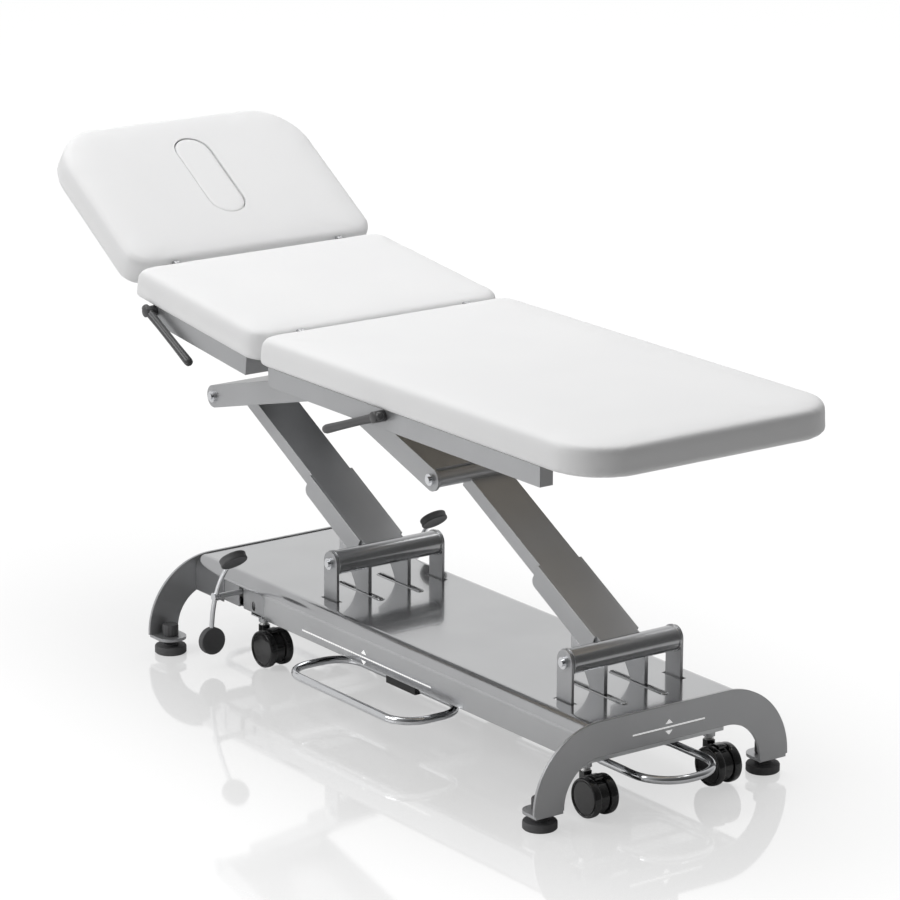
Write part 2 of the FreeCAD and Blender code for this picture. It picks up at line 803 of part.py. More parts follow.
def control_box():
    """Case between the near rail and the actuator, with its cable gland."""
    start = -tie_width / 2
    head_x = start - control_box_length
    near_y = -rail_inner_y + side_clearance
    case = block(head_x, start, near_y, near_y + control_box_width,
                 tie_bottom_z, tie_bottom_z + control_box_height)
    gland_y = near_y + control_box_width / 2
    gland_z = tie_bottom_z + tie_height
    gland = rod(gland_radius, vec(head_x - gland_length, gland_y, gland_z),
                vec(head_x, gland_y, gland_z))
    return group([case, gland])


# Foot bars: closed loops of round tube, each on the box of its switch
def bar_loop(x0, x1, y0, y1, low_corner=bar_corner, high_corner=bar_corner):
    corners = [(x0, y0, low_corner), (x1, y0, high_corner),
               (x1, y1, high_corner), (x0, y1, low_corner)]
    path = outline(corners, lambda s: vec(s.x, s.y, bar_z))
    first = path.Edges[0]
    start = first.valueAt(first.FirstParameter)
    ring = Part.Wire(Part.makeCircle(bar_radius, start, first.tangentAt(first.FirstParameter)))
    shell = path.makePipeShell([ring], True, False)
    solid = Part.Solid(shell) if shell.ShapeType == "Shell" else shell
    return solid.Solids[0] if solid.Solids else solid


def end_bar(side):
    if side > 0:
        return bar_loop(end_bar_axis_x, end_bar_tip_x, -end_bar_half_width,
                        end_bar_half_width, bar_corner, end_bar_tip_corner)
    return bar_loop(-end_bar_tip_x, -end_bar_axis_x, -end_bar_half_width,
                    end_bar_half_width, end_bar_tip_corner, bar_corner)


def side_bar(hand):
    ends = (hand * side_bar_axis_y, hand * side_bar_outer_y)
    return bar_loop(-side_bar_half_length, side_bar_half_length, min(ends), max(ends))


def switch_boxes():
    """Four housings under the chassis that hold the foot bars and their switches."""
    long_half = switch_box_half_length
    half = switch_box_half_width
    boxes = []
    for side in (-1, 1):
        x = side * end_bar_axis_x
        hollow = y_rod(bar_bore_radius, x, bar_z, -long_half, long_half)
        case = block(x - half, x + half, -end_bar_half_width + bar_corner,
                     end_bar_half_width - bar_corner, switch_box_bottom_z, tie_bottom_z)
        boxes.append(case.cut(hollow))
        y = side * side_bar_axis_y
        case = block(-long_half, long_half, y - half, y + half, switch_box_bottom_z,
                     tie_bottom_z)
        bore = rod(bar_bore_radius, vec(-long_half - overrun, y, bar_z),
                   vec(long_half + overrun, y, bar_z))
        boxes.append(case.cut(bore))
    return group(boxes)


# Levelling feet
def levelling_foot(side, hand):
    x, y = side * foot_x, hand * foot_y
    tab_low = plate_leg_bottom_z - tab_thickness
    pad = Part.makeCylinder(foot_pad_radius, foot_pad_height, vec(x, y, 0))
    pad = pad.makeFillet(foot_pad_edge, [edge for edge in pad.Edges
                                         if edge.BoundBox.ZLength < foot_pad_edge])
    neck = Part.makeCone(foot_pad_radius / 2, foot_neck_radius, tab_low - foot_pad_height,
                         vec(x, y, foot_pad_height))
    screw = Part.makeCylinder(foot_screw_radius, tab_thickness + side_clearance,
                              vec(x, y, tab_low))
    knob = Part.makeCylinder(foot_knob_radius, foot_knob_height,
                             vec(x, y, plate_leg_bottom_z + side_clearance))
    return one(pad.fuse([neck, screw, knob]))


# Castors
def castor_wheels(x, y):
    """Twin wheels on one axle."""
    wheel_x = x + castor_trail
    pair = y_rod(wheel_axle_radius, wheel_x, wheel_z, y - wheel_outer_y + wheel_edge,
                 y + wheel_outer_y - wheel_edge)
    for hand in (-1, 1):
        disc = y_rod(wheel_radius, wheel_x, wheel_z, y + hand * wheel_inner_y,
                     y + hand * wheel_outer_y)
        disc = disc.makeFillet(wheel_edge, [edge for edge in disc.Edges
                                            if edge.BoundBox.YLength < wheel_edge])
        dish = y_rod(wheel_dish_radius, wheel_x, wheel_z,
                     y + hand * (wheel_outer_y - wheel_dish_depth),
                     y + hand * (wheel_outer_y + overrun))
        pair = pair.fuse(disc.cut(dish))
    return one(pair)


def castor_hood(x, y):
    """Body between the wheels, the fender over them and the stem."""
    wheel_x = x + castor_trail
    half = castor_body_half_width
    body = y_rod(castor_body_radius, wheel_x, wheel_z, y - half, y + half)
    boss = Part.makeCylinder(castor_boss_radius, fender_top_z - wheel_z, vec(x, y, wheel_z))
    boss = boss.common(block(x - castor_boss_radius, x + castor_boss_radius, y - half,
                             y + half, wheel_z, fender_top_z))
    outer = fender_inner_radius + fender_thickness
    fender = y_rod(outer, wheel_x, wheel_z, y - fender_half_width, y + fender_half_width)
    fender = fender.cut(y_rod(fender_inner_radius, wheel_x, wheel_z,
                              y - fender_half_width - overrun, y + fender_half_width + overrun))
    keep = block(wheel_x - outer - overrun, wheel_x + castor_boss_radius,
                 y - fender_half_width - overrun, y + fender_half_width + overrun,
                 wheel_z + castor_boss_radius, wheel_z + outer + overrun)
    rib = block(wheel_x - outer + fender_thickness, wheel_x, y - half, y + half,
                wheel_z + castor_boss_radius, wheel_z + outer)
    rib = rib.common(y_rod(fender_inner_radius + fender_thickness / 2, wheel_x, wheel_z,
                           y - half, y + half))
    stem = Part.makeCylinder(castor_stem_radius, castor_stem_top_z - wheel_z,
                             vec(x, y, wheel_z))
    hood = body.fuse([boss, fender.common(keep), rib, stem])
    hood = hood.cut(y_rod(wheel_axle_radius + running_clearance, wheel_x, wheel_z,
                          y - fender_half_width - overrun, y + fender_half_width + overrun))
    return one(hood)


def castor_beam(x):
    half = beam_width / 2
    end = rail_inner_y - side_clearance
    beam = square_tube_y(x - half, x + half, -end, end, beam_bottom_z, castor_beam_top_z,
                         castor_beam_wall)
    sockets = []
    for hand in (-1, 1):
        y = hand * castor_y
        socket = Part.makeCylinder(castor_socket_radius, beam_bottom_z - castor_socket_bottom_z,
                                   vec(x, y, castor_socket_bottom_z))
        bore = Part.makeCylinder(castor_stem_radius + running_clearance,
                                 beam_bottom_z - castor_socket_bottom_z + castor_beam_wall
                                 + 2 * overrun, vec(x, y, castor_socket_bottom_z - overrun))
        sockets.append(socket.cut(bore))
        beam = beam.cut(bore)
    return group([one(beam)] + sockets)


# Castor pedal: shaft with cams, curved rods and foot pads
def cam_shaft(x, reach):
    """Shaft across the chassis with two eccentric cams and a crank."""
    shaft = y_rod(pedal_shaft_radius, x, cam_shaft_z, -reach, reach)
    for hand in (-1, 1):
        shaft = shaft.fuse(y_rod(cam_radius, x + cam_offset, cam_shaft_z,
                                 hand * (cam_y - cam_width / 2),
                                 hand * (cam_y + cam_width / 2)))
    half = crank_eye_radius
    corners = [(x - half, cam_shaft_z - half, half), (x + half, cam_shaft_z - half, half),
               (x + half, transfer_z + half, half), (x - half, transfer_z + half, half)]
    crank = plate_xz(corners, crank_inner_y, crank_inner_y + crank_thickness)
    pin = y_rod(transfer_pin_radius, x, transfer_z, crank_inner_y,
                transfer_y + side_clearance + transfer_bar_thickness)
    return one(shaft.fuse([crank, pin]))


def transfer_bar():
    start = transfer_y + side_clearance
    return eye_bar(pedal_shaft_x, foot_cam_shaft_x, transfer_bar_height / 2,
                   transfer_pin_radius + running_clearance, start,
                   start + transfer_bar_thickness, transfer_z)


def pedal_point(degrees, radius):
    """Point of the pedal's arc, counted from the shaft toward the upper pad."""
    lean = math.radians(pedal_arc_lean)
    centre_x = pedal_shaft_x + pedal_arc_radius * math.cos(lean)
    centre_z = pedal_shaft_z - pedal_arc_radius * math.sin(lean)
    angle = math.pi - lean - math.radians(degrees)
    return centre_x + radius * math.cos(angle), centre_z + radius * math.sin(angle)


def pedal_rod(hand):
    y = hand * pedal_rod_y
    rim = math.degrees(pedal_pad_radius / pedal_arc_radius)
    low = -(pedal_lower_reach - rim)
    high = pedal_upper_reach - rim
    spots = [pedal_point(angle, pedal_arc_radius) for angle in (low, (low + high) / 2, high)]
    start, middle, end = [vec(x, y, z) for x, z in spots]
    arc = Part.Arc(start, middle, end).toShape()
    ring = Part.Wire(Part.makeCircle(pedal_rod_radius, start,
                                     arc.tangentAt(arc.FirstParameter)))
    curved = Part.Wire([arc]).makePipeShell([ring], True, False)
    curved = Part.Solid(curved) if curved.ShapeType == "Shell" else curved
    inner = pedal_rod_y - pedal_hub_width / 2
    hub = y_rod(pedal_hub_radius, pedal_shaft_x, pedal_shaft_z, hand * inner,
                hand * (inner + pedal_hub_width))
    return one(curved.Solids[0].fuse(hub))


def pedal_rods():
    return group(both_sides(pedal_rod))


def pedal_pads():
    pads = []
    half = pedal_pad_thickness / 2
    for hand in (-1, 1):
        for degrees in (pedal_upper_reach, -pedal_lower_reach):
            x0, z0 = pedal_point(degrees, pedal_arc_radius - half)
            x1, z1 = pedal_point(degrees, pedal_arc_radius + half)
            disc = rod(pedal_pad_radius, vec(x0, hand * pedal_rod_y, z0),
                       vec(x1, hand * pedal_rod_y, z1))
            pads.append(disc.makeFillet(pedal_pad_edge, disc.Edges[:1] + disc.Edges[2:]))
    return group(pads)


# Lift brackets: two channels under the top frame
def bracket_line(pivot_x, angle, offset, x):
    """Height at x of an edge that runs at an offset beside a bracket's middle line."""
    slope = math.tan(math.radians(angle))
    rise = abs(x - pivot_x) * slope
    return upper_pivot_z + rise + offset / math.cos(math.radians(angle))


def lift_bracket(pivot_x, toward, angle):
    """Channel from a pivot up to the top frame: two cheeks and a web above."""
    half = bracket_half_height
    lean = math.radians(angle)
    along = vec(toward * math.cos(lean), math.sin(lean), 0)
    across = vec(-toward * math.sin(lean), math.cos(lean), 0)
    pivot = vec(pivot_x, upper_pivot_z, 0)
    low = pivot.sub(along * half).sub(across * half)
    high = pivot.sub(along * half).add(across * half)
    joint = bracket_joint_x
    edge_z = bracket_line(pivot_x, angle, half, joint)
    low_z = bracket_line(pivot_x, angle, -half, joint)
    corners = [(low.x, low.y, half), (high.x, high.y, half)]
    if edge_z < frame_bottom_z:
        shoulder = hinge_x + leg_frame_start + tube_height
        corners.append((shoulder, bracket_line(pivot_x, angle, half, shoulder), 0))
        corners.append((shoulder, frame_bottom_z, 0))
    else:
        slope = math.tan(lean)
        meet = (frame_bottom_z - upper_pivot_z - half / math.cos(lean)) / slope
        corners.append((pivot_x + toward * meet, frame_bottom_z, 0))
    corners += [(joint, frame_bottom_z, 0), (joint, low_z, 0)]
    outer = bracket_outer_y
    inner = outer - bracket_thickness
    pieces = []
    for hand in (-1, 1):
        cheek = plate_xz(corners, hand * inner, hand * outer)
        bore = y_rod(upper_pin_radius + running_clearance, pivot_x, upper_pivot_z,
                     -outer - overrun, outer + overrun)
        pieces.append(cheek.cut(bore))
    web_end = joint
    top_end = min(bracket_line(pivot_x, angle, half, web_end), frame_bottom_z)
    start = pivot.add(across * half)
    under = pivot.add(across * (half - bracket_web))
    low_end = bracket_line(pivot_x, angle, half - bracket_web, web_end)
    web = [(start.x, start.y, 0)]
    if edge_z > frame_bottom_z:
        web.append((pivot_x + toward * meet, frame_bottom_z, 0))
    web += [(web_end, top_end, 0), (web_end, low_end, 0), (under.x, under.y, 0)]
    pieces.append(plate_xz(web, -inner, inner))
    if toward > 0:
        for hand in (-1, 1):
            stud_end = spring_y + spring_eye_half_width
            pieces.append(y_rod(spring_pin_radius, hinge_x - spring_low_from_hinge,
                                hinge_z - spring_low_drop, hand * outer, hand * stud_end))
    return group(pieces)


# Hinge leaves and frames of the top
def leaf(corners, y0, bored):
    """Cranked hinge plate; the bored one turns on the other's pin."""
    plate = plate_xz(corners, y0, y0 + leaf_thickness)
    if bored:
        hole = y_rod(hinge_pin_radius + running_clearance, 0, 0, y0 - overrun,
                     y0 + leaf_thickness + overrun)
        return plate.cut(hole)
    return plate


def fixed_leaf(frame_edge, frame_w, hand, flip):
    """Leaf and pin on the side of a hinge that stays; drawn about the hinge axis."""
    half = leaf_half_width
    foot = frame_w - tube_height + leaf_foot_height
    corners = [(flip * frame_edge, frame_w - tube_height, 0), (flip * frame_edge, foot, 0),
               (flip * half, foot, 0), (flip * half, half, half),
               (-flip * half, half, half), (-flip * half, frame_w - tube_height, 0)]
    y0 = leaf_y if hand > 0 else -leaf_y - leaf_thickness
    plate = plate_xz(corners, y0, y0 + leaf_thickness)
    far = leaf_y + 2 * leaf_thickness + leaf_gap
    pin = y_rod(hinge_pin_radius, 0, 0, hand * leaf_y, hand * far)
    return one(plate.fuse(pin))


def moving_leaf(frame_edge, height, hand):
    """Leaf on the side of a hinge that turns, drawn about the hinge axis toward +X."""
    half = leaf_half_width
    low = frame_top_w - height
    foot = low + min(height, leaf_foot_height)
    corners = [(frame_edge, low, 0), (frame_edge, foot, 0), (half, foot, 0),
               (half, half, half), (-half, half, half), (-half, low, 0)]
    start = leaf_y + leaf_thickness + leaf_gap
    y0 = start if hand > 0 else -start - leaf_thickness
    return leaf(corners, y0, True)


def moved(shape, x, z):
    copy = shape.copy()
    copy.translate(vec(x, 0, z))
    return copy


def leg_frame():
    start = hinge_x + leg_frame_start
    end = start + leg_frame_length
    inner = frame_half_width - tube_width
    pieces = []
    for hand in (-1, 1):
        rail = capped_tube_x(start, end, hand * inner, hand * frame_half_width,
                             frame_bottom_z, frame_top_z, frame_tube_wall)
        if hand < 0:
            rail = rail.cut(y_rod(lever_shaft_radius + running_clearance,
                                  hinge_x + leg_lever_from_hinge, pad_bottom_z - leg_lever_drop,
                                  -frame_half_width - overrun, -inner + overrun))
        pieces.append(rail)
    tie = tube_height
    middle = start + leg_tie_from_start
    for x in (start, middle, end - tie - leg_rail_overhang):
        pieces.append(square_tube_y(x, x + tie, -inner, inner, frame_bottom_z, frame_top_z,
                                    frame_tube_wall))
    for hand in (-1, 1):
        pieces.append(moved(fixed_leaf(leg_frame_start, frame_top_w, hand, 1),
                            hinge_x, hinge_z))
    return group(pieces)


def mid_placement():
    """Local axes of the mid section: X from the hinge toward the head, Z up."""
    turn = FreeCAD.Rotation(vec(0, 1, 0), mid_rest_tilt)
    turn = turn.multiply(FreeCAD.Rotation(vec(0, 0, 1), 180))
    return FreeCAD.Placement(vec(hinge_x, 0, hinge_z), turn)


def head_hinge():
    lean = math.radians(mid_rest_tilt)
    return (hinge_x - mid_hinge_u * math.cos(lean), hinge_z + mid_hinge_u * math.sin(lean))


def head_placement():
    turn = FreeCAD.Rotation(vec(0, 1, 0), head_rest_tilt)
    turn = turn.multiply(FreeCAD.Rotation(vec(0, 0, 1), 180))
    x, z = head_hinge()
    return FreeCAD.Placement(vec(x, 0, z), turn)


def placed(shape, placement):
    copy = shape.copy()
    copy.Placement = placement.multiply(copy.Placement)
    return copy


def ear(u, w, bar_u, bar_w0, bar_w1, y0, thickness):
    """Plate from a frame tube's face out to a spring pin at u, w."""
    toward = 1 if u > bar_u else -1
    radius = ear_radius
    corners = [(bar_u, bar_w0, 0), (u + toward * radius, w - radius, radius),
               (u + toward * radius, w + radius, radius), (bar_u, bar_w1, 0)]
    return plate_xz(corners, y0, y0 + thickness)


def mid_frame():
    low = frame_top_w - tube_height
    inner = frame_half_width - tube_width
    pieces = []
    for hand in (-1, 1):
        rail = capped_tube_x(mid_frame_start, mid_frame_end, hand * inner,
                             hand * frame_half_width, low, frame_top_w, frame_tube_wall)
        if hand > 0:
            rail = rail.cut(y_rod(lever_shaft_radius + running_clearance, mid_lever_u,
                                  pad_bottom_w - mid_lever_drop,
                                  inner - overrun, frame_half_width + overrun))
        pieces.append(rail)
        pieces.append(square_tube_y(mid_frame_start, mid_frame_start + tube_height,
                                    hand * (inner - hinge_tie_length), hand * inner,
                                    low, frame_top_w, frame_tube_wall))
        pieces.append(moving_leaf(mid_frame_start, tube_height, hand))
        pieces.append(moved(fixed_leaf(mid_hinge_u - mid_frame_end, frame_top_w, hand, -1),
                            mid_hinge_u, 0))
        ear_y = spring_y + spring_eye_half_width + spring_pin_gap
        y0 = ear_y if hand > 0 else -ear_y - ear_thickness
        bar_low = frame_top_w - spring_bar_width
        plate = ear(spring_top_u, -spring_top_w, spring_bar_start, bar_low, frame_top_w,
                    y0, ear_thickness)
        pin = y_rod(spring_pin_radius, spring_top_u, -spring_top_w,
                    hand * (spring_y - spring_eye_half_width), hand * ear_y)
        pieces.append(one(plate.fuse(pin)))
    pieces.append(square_tube_y(spring_bar_start, spring_bar_start + spring_bar_width,
                                -inner, inner, frame_top_w - spring_bar_width, frame_top_w,
                                frame_tube_wall))
    pieces.append(square_tube_y(mid_frame_end - tube_height, mid_frame_end, -inner, inner,
                                low, frame_top_w, frame_tube_wall))
    pin_u = mid_hinge_u - head_spring_arm_u
    ear_y = -head_spring_y + head_spring_cylinder_radius + spring_pin_gap
    plate = ear(pin_u, -head_spring_arm_w, mid_frame_end, low, frame_top_w - frame_tube_wall,
                ear_y, ear_thickness)
    pin = y_rod(spring_pin_radius, pin_u, -head_spring_arm_w,
                -head_spring_y - spring_eye_half_width, ear_y)
    pieces.append(one(plate.fuse(pin)))
    return placed(group(pieces), mid_placement())


def head_frame():
    low = frame_top_w - head_tube
    outer = head_frame_half_width
    inner = outer - head_tube
    pieces = []
    for hand in (-1, 1):
        pieces.append(square_tube_x(head_frame_start + head_tube, head_frame_end,
                                    hand * inner, hand * outer, low, frame_top_w,
                                    frame_tube_wall))
        pieces.append(moving_leaf(head_frame_start, head_tube, hand))
    pieces.append(square_tube_y(head_frame_start, head_frame_start + head_tube, -outer, outer,
                                low, frame_top_w, frame_tube_wall))
    pieces.append(square_tube_y(head_frame_end, head_frame_end + head_tube, -outer, outer,
                                low, frame_top_w, frame_tube_wall))
    ear_y = -head_spring_y + spring_eye_half_width + spring_pin_gap
    plate = ear(head_spring_top_u, -head_spring_top_w, head_frame_start, low, frame_top_w,
                ear_y, ear_thickness)
    pin = y_rod(spring_pin_radius, head_spring_top_u, -head_spring_top_w,
                -head_spring_y - spring_eye_half_width, ear_y)
    pieces.append(one(plate.fuse(pin)))
    return placed(group(pieces), head_placement())


# Pads: rounded outlines stacked into a crowned cushion
# Inset from the pad's outline, as shares of the pad's depth, at heights that are
# shares of the same depth.
pad_inset_share = (0.105, 0.045, 0.015, 0.0, 0.012, 0.0, 0.03, 0.085, 0.17, 0.33, 1.0, 2.2)
pad_height_share = (0.0, 0.03, 0.09, 0.2, 0.45, 0.68, 0.82, 0.905, 0.955, 0.975, 0.99, 1.0)
# How far a square corner has opened to the crown's radius at those heights.
pad_corner_share = (0.0, 0.0, 0.0, 0.0, 0.0, 0.1, 0.35, 0.7, 1.0, 1.0, 1.0, 1.0)


def pad_outline(start, end, half, near_radius, far_radius, inset, w):
    least = pad_depth / 20
    near = max(near_radius - inset, least)
    far = max(far_radius - inset, least)
    corners = [(start + inset, -half + inset, near), (end - inset, -half + inset, far),
               (end - inset, half - inset, far), (start + inset, half - inset, near)]
    return outline(corners, lambda s: vec(s.x, s.y, w))


def pad_solid(start, end, near_radius, far_radius):
    wires = []
    for inset_share, height_share, corner_share in zip(pad_inset_share, pad_height_share,
                                                       pad_corner_share):
        near, far = (radius + corner_share * max(crown_corner - radius, 0)
                     for radius in (near_radius, far_radius))
        wires.append(pad_outline(start, end, pad_half_width, near, far,
                                 inset_share * pad_depth,
                                 pad_bottom_w + height_share * pad_depth))
    return Part.makeLoft(wires, True, True)


def board_shape(start, end, near_radius, far_radius, grow):
    """Plywood board under a pad; grow adds the room that the pad leaves round it."""
    inset = board_inset - grow
    wire = pad_outline(start, end, pad_half_width, near_radius, far_radius, inset,
                       frame_top_w - grow)
    return Part.Face(wire).extrude(vec(0, 0, board_thickness + 2 * grow))


def leaf_pocket(x0, x1, hand):
    y0 = hand * (leaf_y - pocket_side)
    y1 = hand * (leaf_y + 2 * leaf_thickness + leaf_gap + pocket_side)
    return block(x0, x1, y0, y1, pad_bottom_w - overrun, leaf_half_width + pocket_side)


def cushion(start, end, near_radius, far_radius, pockets):
    """A pad less the room for its board and for the hinge leaves at its ends."""
    pad = pad_solid(start, end, near_radius, far_radius)
    pad = pad.cut(board_shape(start, end, near_radius, far_radius, board_clearance))
    for x0, x1 in pockets:
        for hand in (-1, 1):
            pad = pad.cut(leaf_pocket(x0, x1, hand))
    return pad


def stadium(start, length, width, w0, w1):
    half = width / 2
    corners = [(start, -half, half), (start + length, -half, half),
               (start + length, half, half), (start, half, half)]
    return plate_xy(corners, w0, w1)


def leg_pad():
    start = pad_gap / 2
    pad = cushion(start, start + leg_pad_length, square_corner, leg_corner,
                  [(start - overrun, start + pocket_depth)])
    return moved(one(pad), hinge_x, hinge_z)


def leg_board():
    start = pad_gap / 2
    board = board_shape(start, start + leg_pad_length, square_corner, leg_corner, 0)
    return moved(board, hinge_x, hinge_z)


def mid_pad():
    start = pad_gap / 2
    end = start + mid_pad_length
    pad = cushion(start, end, inner_corner, square_corner,
                  [(start - overrun, start + pocket_depth), (end - pocket_depth, end + overrun)])
    return placed(one(pad), mid_placement())


def mid_board():
    start = pad_gap / 2
    board = board_shape(start, start + mid_pad_length, inner_corner, square_corner, 0)
    return placed(board, mid_placement())


def head_pad():
    start = pad_gap / 2
    pad = cushion(start, start + head_pad_length, inner_corner, head_corner,
                  [(start - overrun, start + pocket_depth)])
    hole = stadium(plug_from_hinge, plug_length, plug_width, pad_bottom_w - overrun,
                   hinge_depth + overrun)
    return placed(one(pad.cut(hole)), head_placement())


def head_board():
    start = pad_gap / 2
    board = board_shape(start, start + head_pad_length, inner_corner, head_corner, 0)
    shift = (plug_length - air_hole_length) / 2
    hole = stadium(plug_from_hinge + shift, air_hole_length, air_hole_width,
                   pad_bottom_w - overrun, hinge_depth + overrun)
    return placed(board.cut(hole), head_placement())


def face_plug():
    """Loose cushion that fills the face hole and rests on the head board."""
    seat = frame_top_w + board_thickness
    plug = stadium(plug_from_hinge + plug_gap, plug_length - 2 * plug_gap,
                   plug_width - 2 * plug_gap, seat, hinge_depth)
    top = [edge for edge in plug.Edges if edge.BoundBox.ZMin > hinge_depth - plug_edge]
    return placed(plug.makeFillet(plug_edge, top), head_placement())


# Gas springs and release levers
def spring_cylinder(low, high, y, radius, bore, length):
    """Cylinder with its eye at the lower pin, open toward the rod."""
    axis = vec(high[0] - low[0], 0, high[1] - low[1]).normalize()
    start = vec(low[0], y, low[1])
    eye = y_rod(spring_eye_radius, low[0], low[1], y - spring_eye_half_width,
                y + spring_eye_half_width)
    body = rod(radius, start.add(axis * spring_eye_radius * 0.8), start.add(axis * length))
    cavity = rod(bore, start.add(axis * (spring_eye_radius + spring_rod_radius * 0.5)),
                 start.add(axis * (length + overrun)))
    body = body.cut(cavity).fuse(eye)
    return one(body.cut(y_rod(spring_pin_radius + running_clearance, low[0], low[1],
                              y - radius - overrun, y + radius + overrun)))


def spring_rod(low, high, y, length):
    axis = vec(high[0] - low[0], 0, high[1] - low[1]).normalize()
    end = vec(high[0], y, high[1])
    eye = y_rod(spring_eye_radius, high[0], high[1], y - spring_eye_half_width,
                y + spring_eye_half_width)
    tail = end.sub(axis * (length + spring_eye_radius))
    stick = rod(spring_rod_radius, tail, end.sub(axis * spring_eye_radius * 0.7))
    return one(eye.fuse(stick).cut(y_rod(spring_pin_radius + running_clearance, high[0],
                                         high[1], y - spring_eye_half_width - overrun,
                                         y + spring_eye_half_width + overrun)))


def mid_point(u, w):
    """World x and z of a point of the mid section."""
    spot = mid_placement().multVec(vec(u, 0, w))
    return spot.x, spot.z


def head_point(u, w):
    spot = head_placement().multVec(vec(u, 0, w))
    return spot.x, spot.z


def backrest_spring_ends():
    low = (hinge_x - spring_low_from_hinge, hinge_z - spring_low_drop)
    return low, mid_point(spring_top_u, -spring_top_w)


def headrest_spring_ends():
    low = mid_point(mid_hinge_u - head_spring_arm_u, -head_spring_arm_w)
    return low, head_point(head_spring_top_u, -head_spring_top_w)


def backrest_cylinders():
    low, high = backrest_spring_ends()
    return group([spring_cylinder(low, high, hand * spring_y, spring_cylinder_radius,
                                  spring_bore_radius, spring_cylinder_length)
                  for hand in (-1, 1)])


def backrest_rods():
    low, high = backrest_spring_ends()
    return group([spring_rod(low, high, hand * spring_y, spring_rod_length)
                  for hand in (-1, 1)])


def headrest_cylinder():
    low, high = headrest_spring_ends()
    return spring_cylinder(low, high, head_spring_y, head_spring_cylinder_radius,
                           head_spring_bore_radius, head_spring_cylinder_length)


def headrest_rod():
    low, high = headrest_spring_ends()
    return spring_rod(low, high, head_spring_y, head_spring_rod_length)


def release_lever(x, z, toward, length, droop):
    """Grip beside the near rail, with the hub and shaft that it turns on."""
    lean = math.radians(droop)
    along = vec(toward * math.cos(lean), 0, -math.sin(lean))
    start = vec(x, -grip_y, z).sub(along * grip_overhang)
    grip = rod(grip_radius, start, start.add(along * length))
    ends = [edge for edge in grip.Edges if edge.Closed]
    grip = grip.makeFillet(grip_radius * 0.8, ends)
    face = frame_half_width + side_clearance
    hub = y_rod(lever_hub_radius, x, z, -grip_y, -face)
    shaft = y_rod(lever_shaft_radius, x, z, -grip_y, -frame_half_width + lever_shaft_length)
    return one(grip.fuse([hub, shaft]))


def leg_lever():
    return release_lever(hinge_x + leg_lever_from_hinge, pad_bottom_z - leg_lever_drop,
                         -1, leg_grip_length, grip_droop)


def mid_lever():
    x, z = mid_point(mid_lever_u, pad_bottom_w - mid_lever_drop)
    return release_lever(x, z, 1, mid_grip_length, grip_droop + mid_rest_tilt)


def add_arm(name, pivot_x):
    beam, sleeve, lower, upper, levers = arm_parts(pivot_x)
    nodes[name + "_beam"] = group([beam, upper])
    nodes[name + "_sleeve"] = sleeve
    nodes[name + "_hub"] = group([lower] + levers)


def build():
    nodes["end_plate_head"] = end_plate(-1)
    nodes["end_plate_foot"] = end_plate(1)
    nodes["chassis_frame"] = chassis_frame()
    nodes["base_cover"] = base_cover()
    nodes["lower_pivot_uprights"] = lower_pivot_uprights()
    nodes["lower_pivot_pins"] = lower_pivot_pins()
    nodes["shaft_bushes"] = shaft_bushes()
    nodes["foot_switch_boxes"] = switch_boxes()
    nodes["actuator_housing"] = actuator_housing()
    nodes["control_box"] = control_box()
    add_arm("arm_head", lower_pivot_x_head)
    add_arm("arm_foot", lower_pivot_x_foot)
    nodes["link_bars"] = link_bars()
    nodes["actuator_rod"] = actuator_rod()
    nodes["foot_bar_head"] = end_bar(-1)
    nodes["foot_bar_foot"] = end_bar(1)
    nodes["foot_bar_near"] = side_bar(-1)
    nodes["foot_bar_far"] = side_bar(1)
    for side, end in ((-1, "head"), (1, "foot")):
        x = castor_x_head if side < 0 else castor_x_foot
        nodes["castor_beam_" + end] = castor_beam(x)
        for hand, flank in ((-1, "near"), (1, "far")):
            tail = end + "_" + flank
            nodes["levelling_foot_" + tail] = levelling_foot(side, hand)
            nodes["castor_hood_" + tail] = castor_hood(x, hand * castor_y)
            nodes["castor_wheels_" + tail] = castor_wheels(x, hand * castor_y)
    nodes["pedal_shaft"] = cam_shaft(pedal_shaft_x, pedal_rod_y - pedal_hub_width / 2)
    nodes["foot_cam_shaft"] = cam_shaft(foot_cam_shaft_x, rail_inner_y + rail_wall)
    nodes["transfer_bar"] = transfer_bar()
    nodes["pedal_rods"] = pedal_rods()
    nodes["pedal_pads"] = pedal_pads()
    nodes["lift_bracket_head"] = lift_bracket(upper_pivot_x_head, 1, bracket_angle_head)
    nodes["lift_bracket_foot"] = lift_bracket(upper_pivot_x_foot, -1, bracket_angle_foot)
    nodes["upper_pivot_pins"] = upper_pivot_pins()
    nodes["leg_frame"] = leg_frame()
    nodes["leg_board"] = leg_board()
    nodes["leg_pad"] = leg_pad()
    nodes["mid_frame"] = mid_frame()
    nodes["mid_board"] = mid_board()
    nodes["mid_pad"] = mid_pad()
    nodes["head_frame"] = head_frame()
    nodes["head_board"] = head_board()
    nodes["head_pad"] = head_pad()
    nodes["face_plug"] = face_plug()
    nodes["backrest_cylinders"] = backrest_cylinders()
    nodes["backrest_rods"] = backrest_rods()
    nodes["headrest_cylinder"] = headrest_cylinder()
    nodes["headrest_rod"] = headrest_rod()
    nodes["leg_lever"] = leg_lever()
    nodes["mid_lever"] = mid_lever()


build()

# The kept origin is on the floor under the middle of the whole couch's box.
ends = [nodes[name].optimalBoundingBox(False, False) for name in ("head_pad", "leg_pad")]
shift = -(min(box.XMin for box in ends) + max(box.XMax for box in ends)) / 2

os.makedirs("parts", exist_ok=True)
for name, shape in nodes.items():
    shape.translate(vec(shift, 0, 0))
    shape.exportStep("parts/" + name + ".step")
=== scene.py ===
import json
import math

import bmesh
import bpy
from mathutils import Matrix, Vector


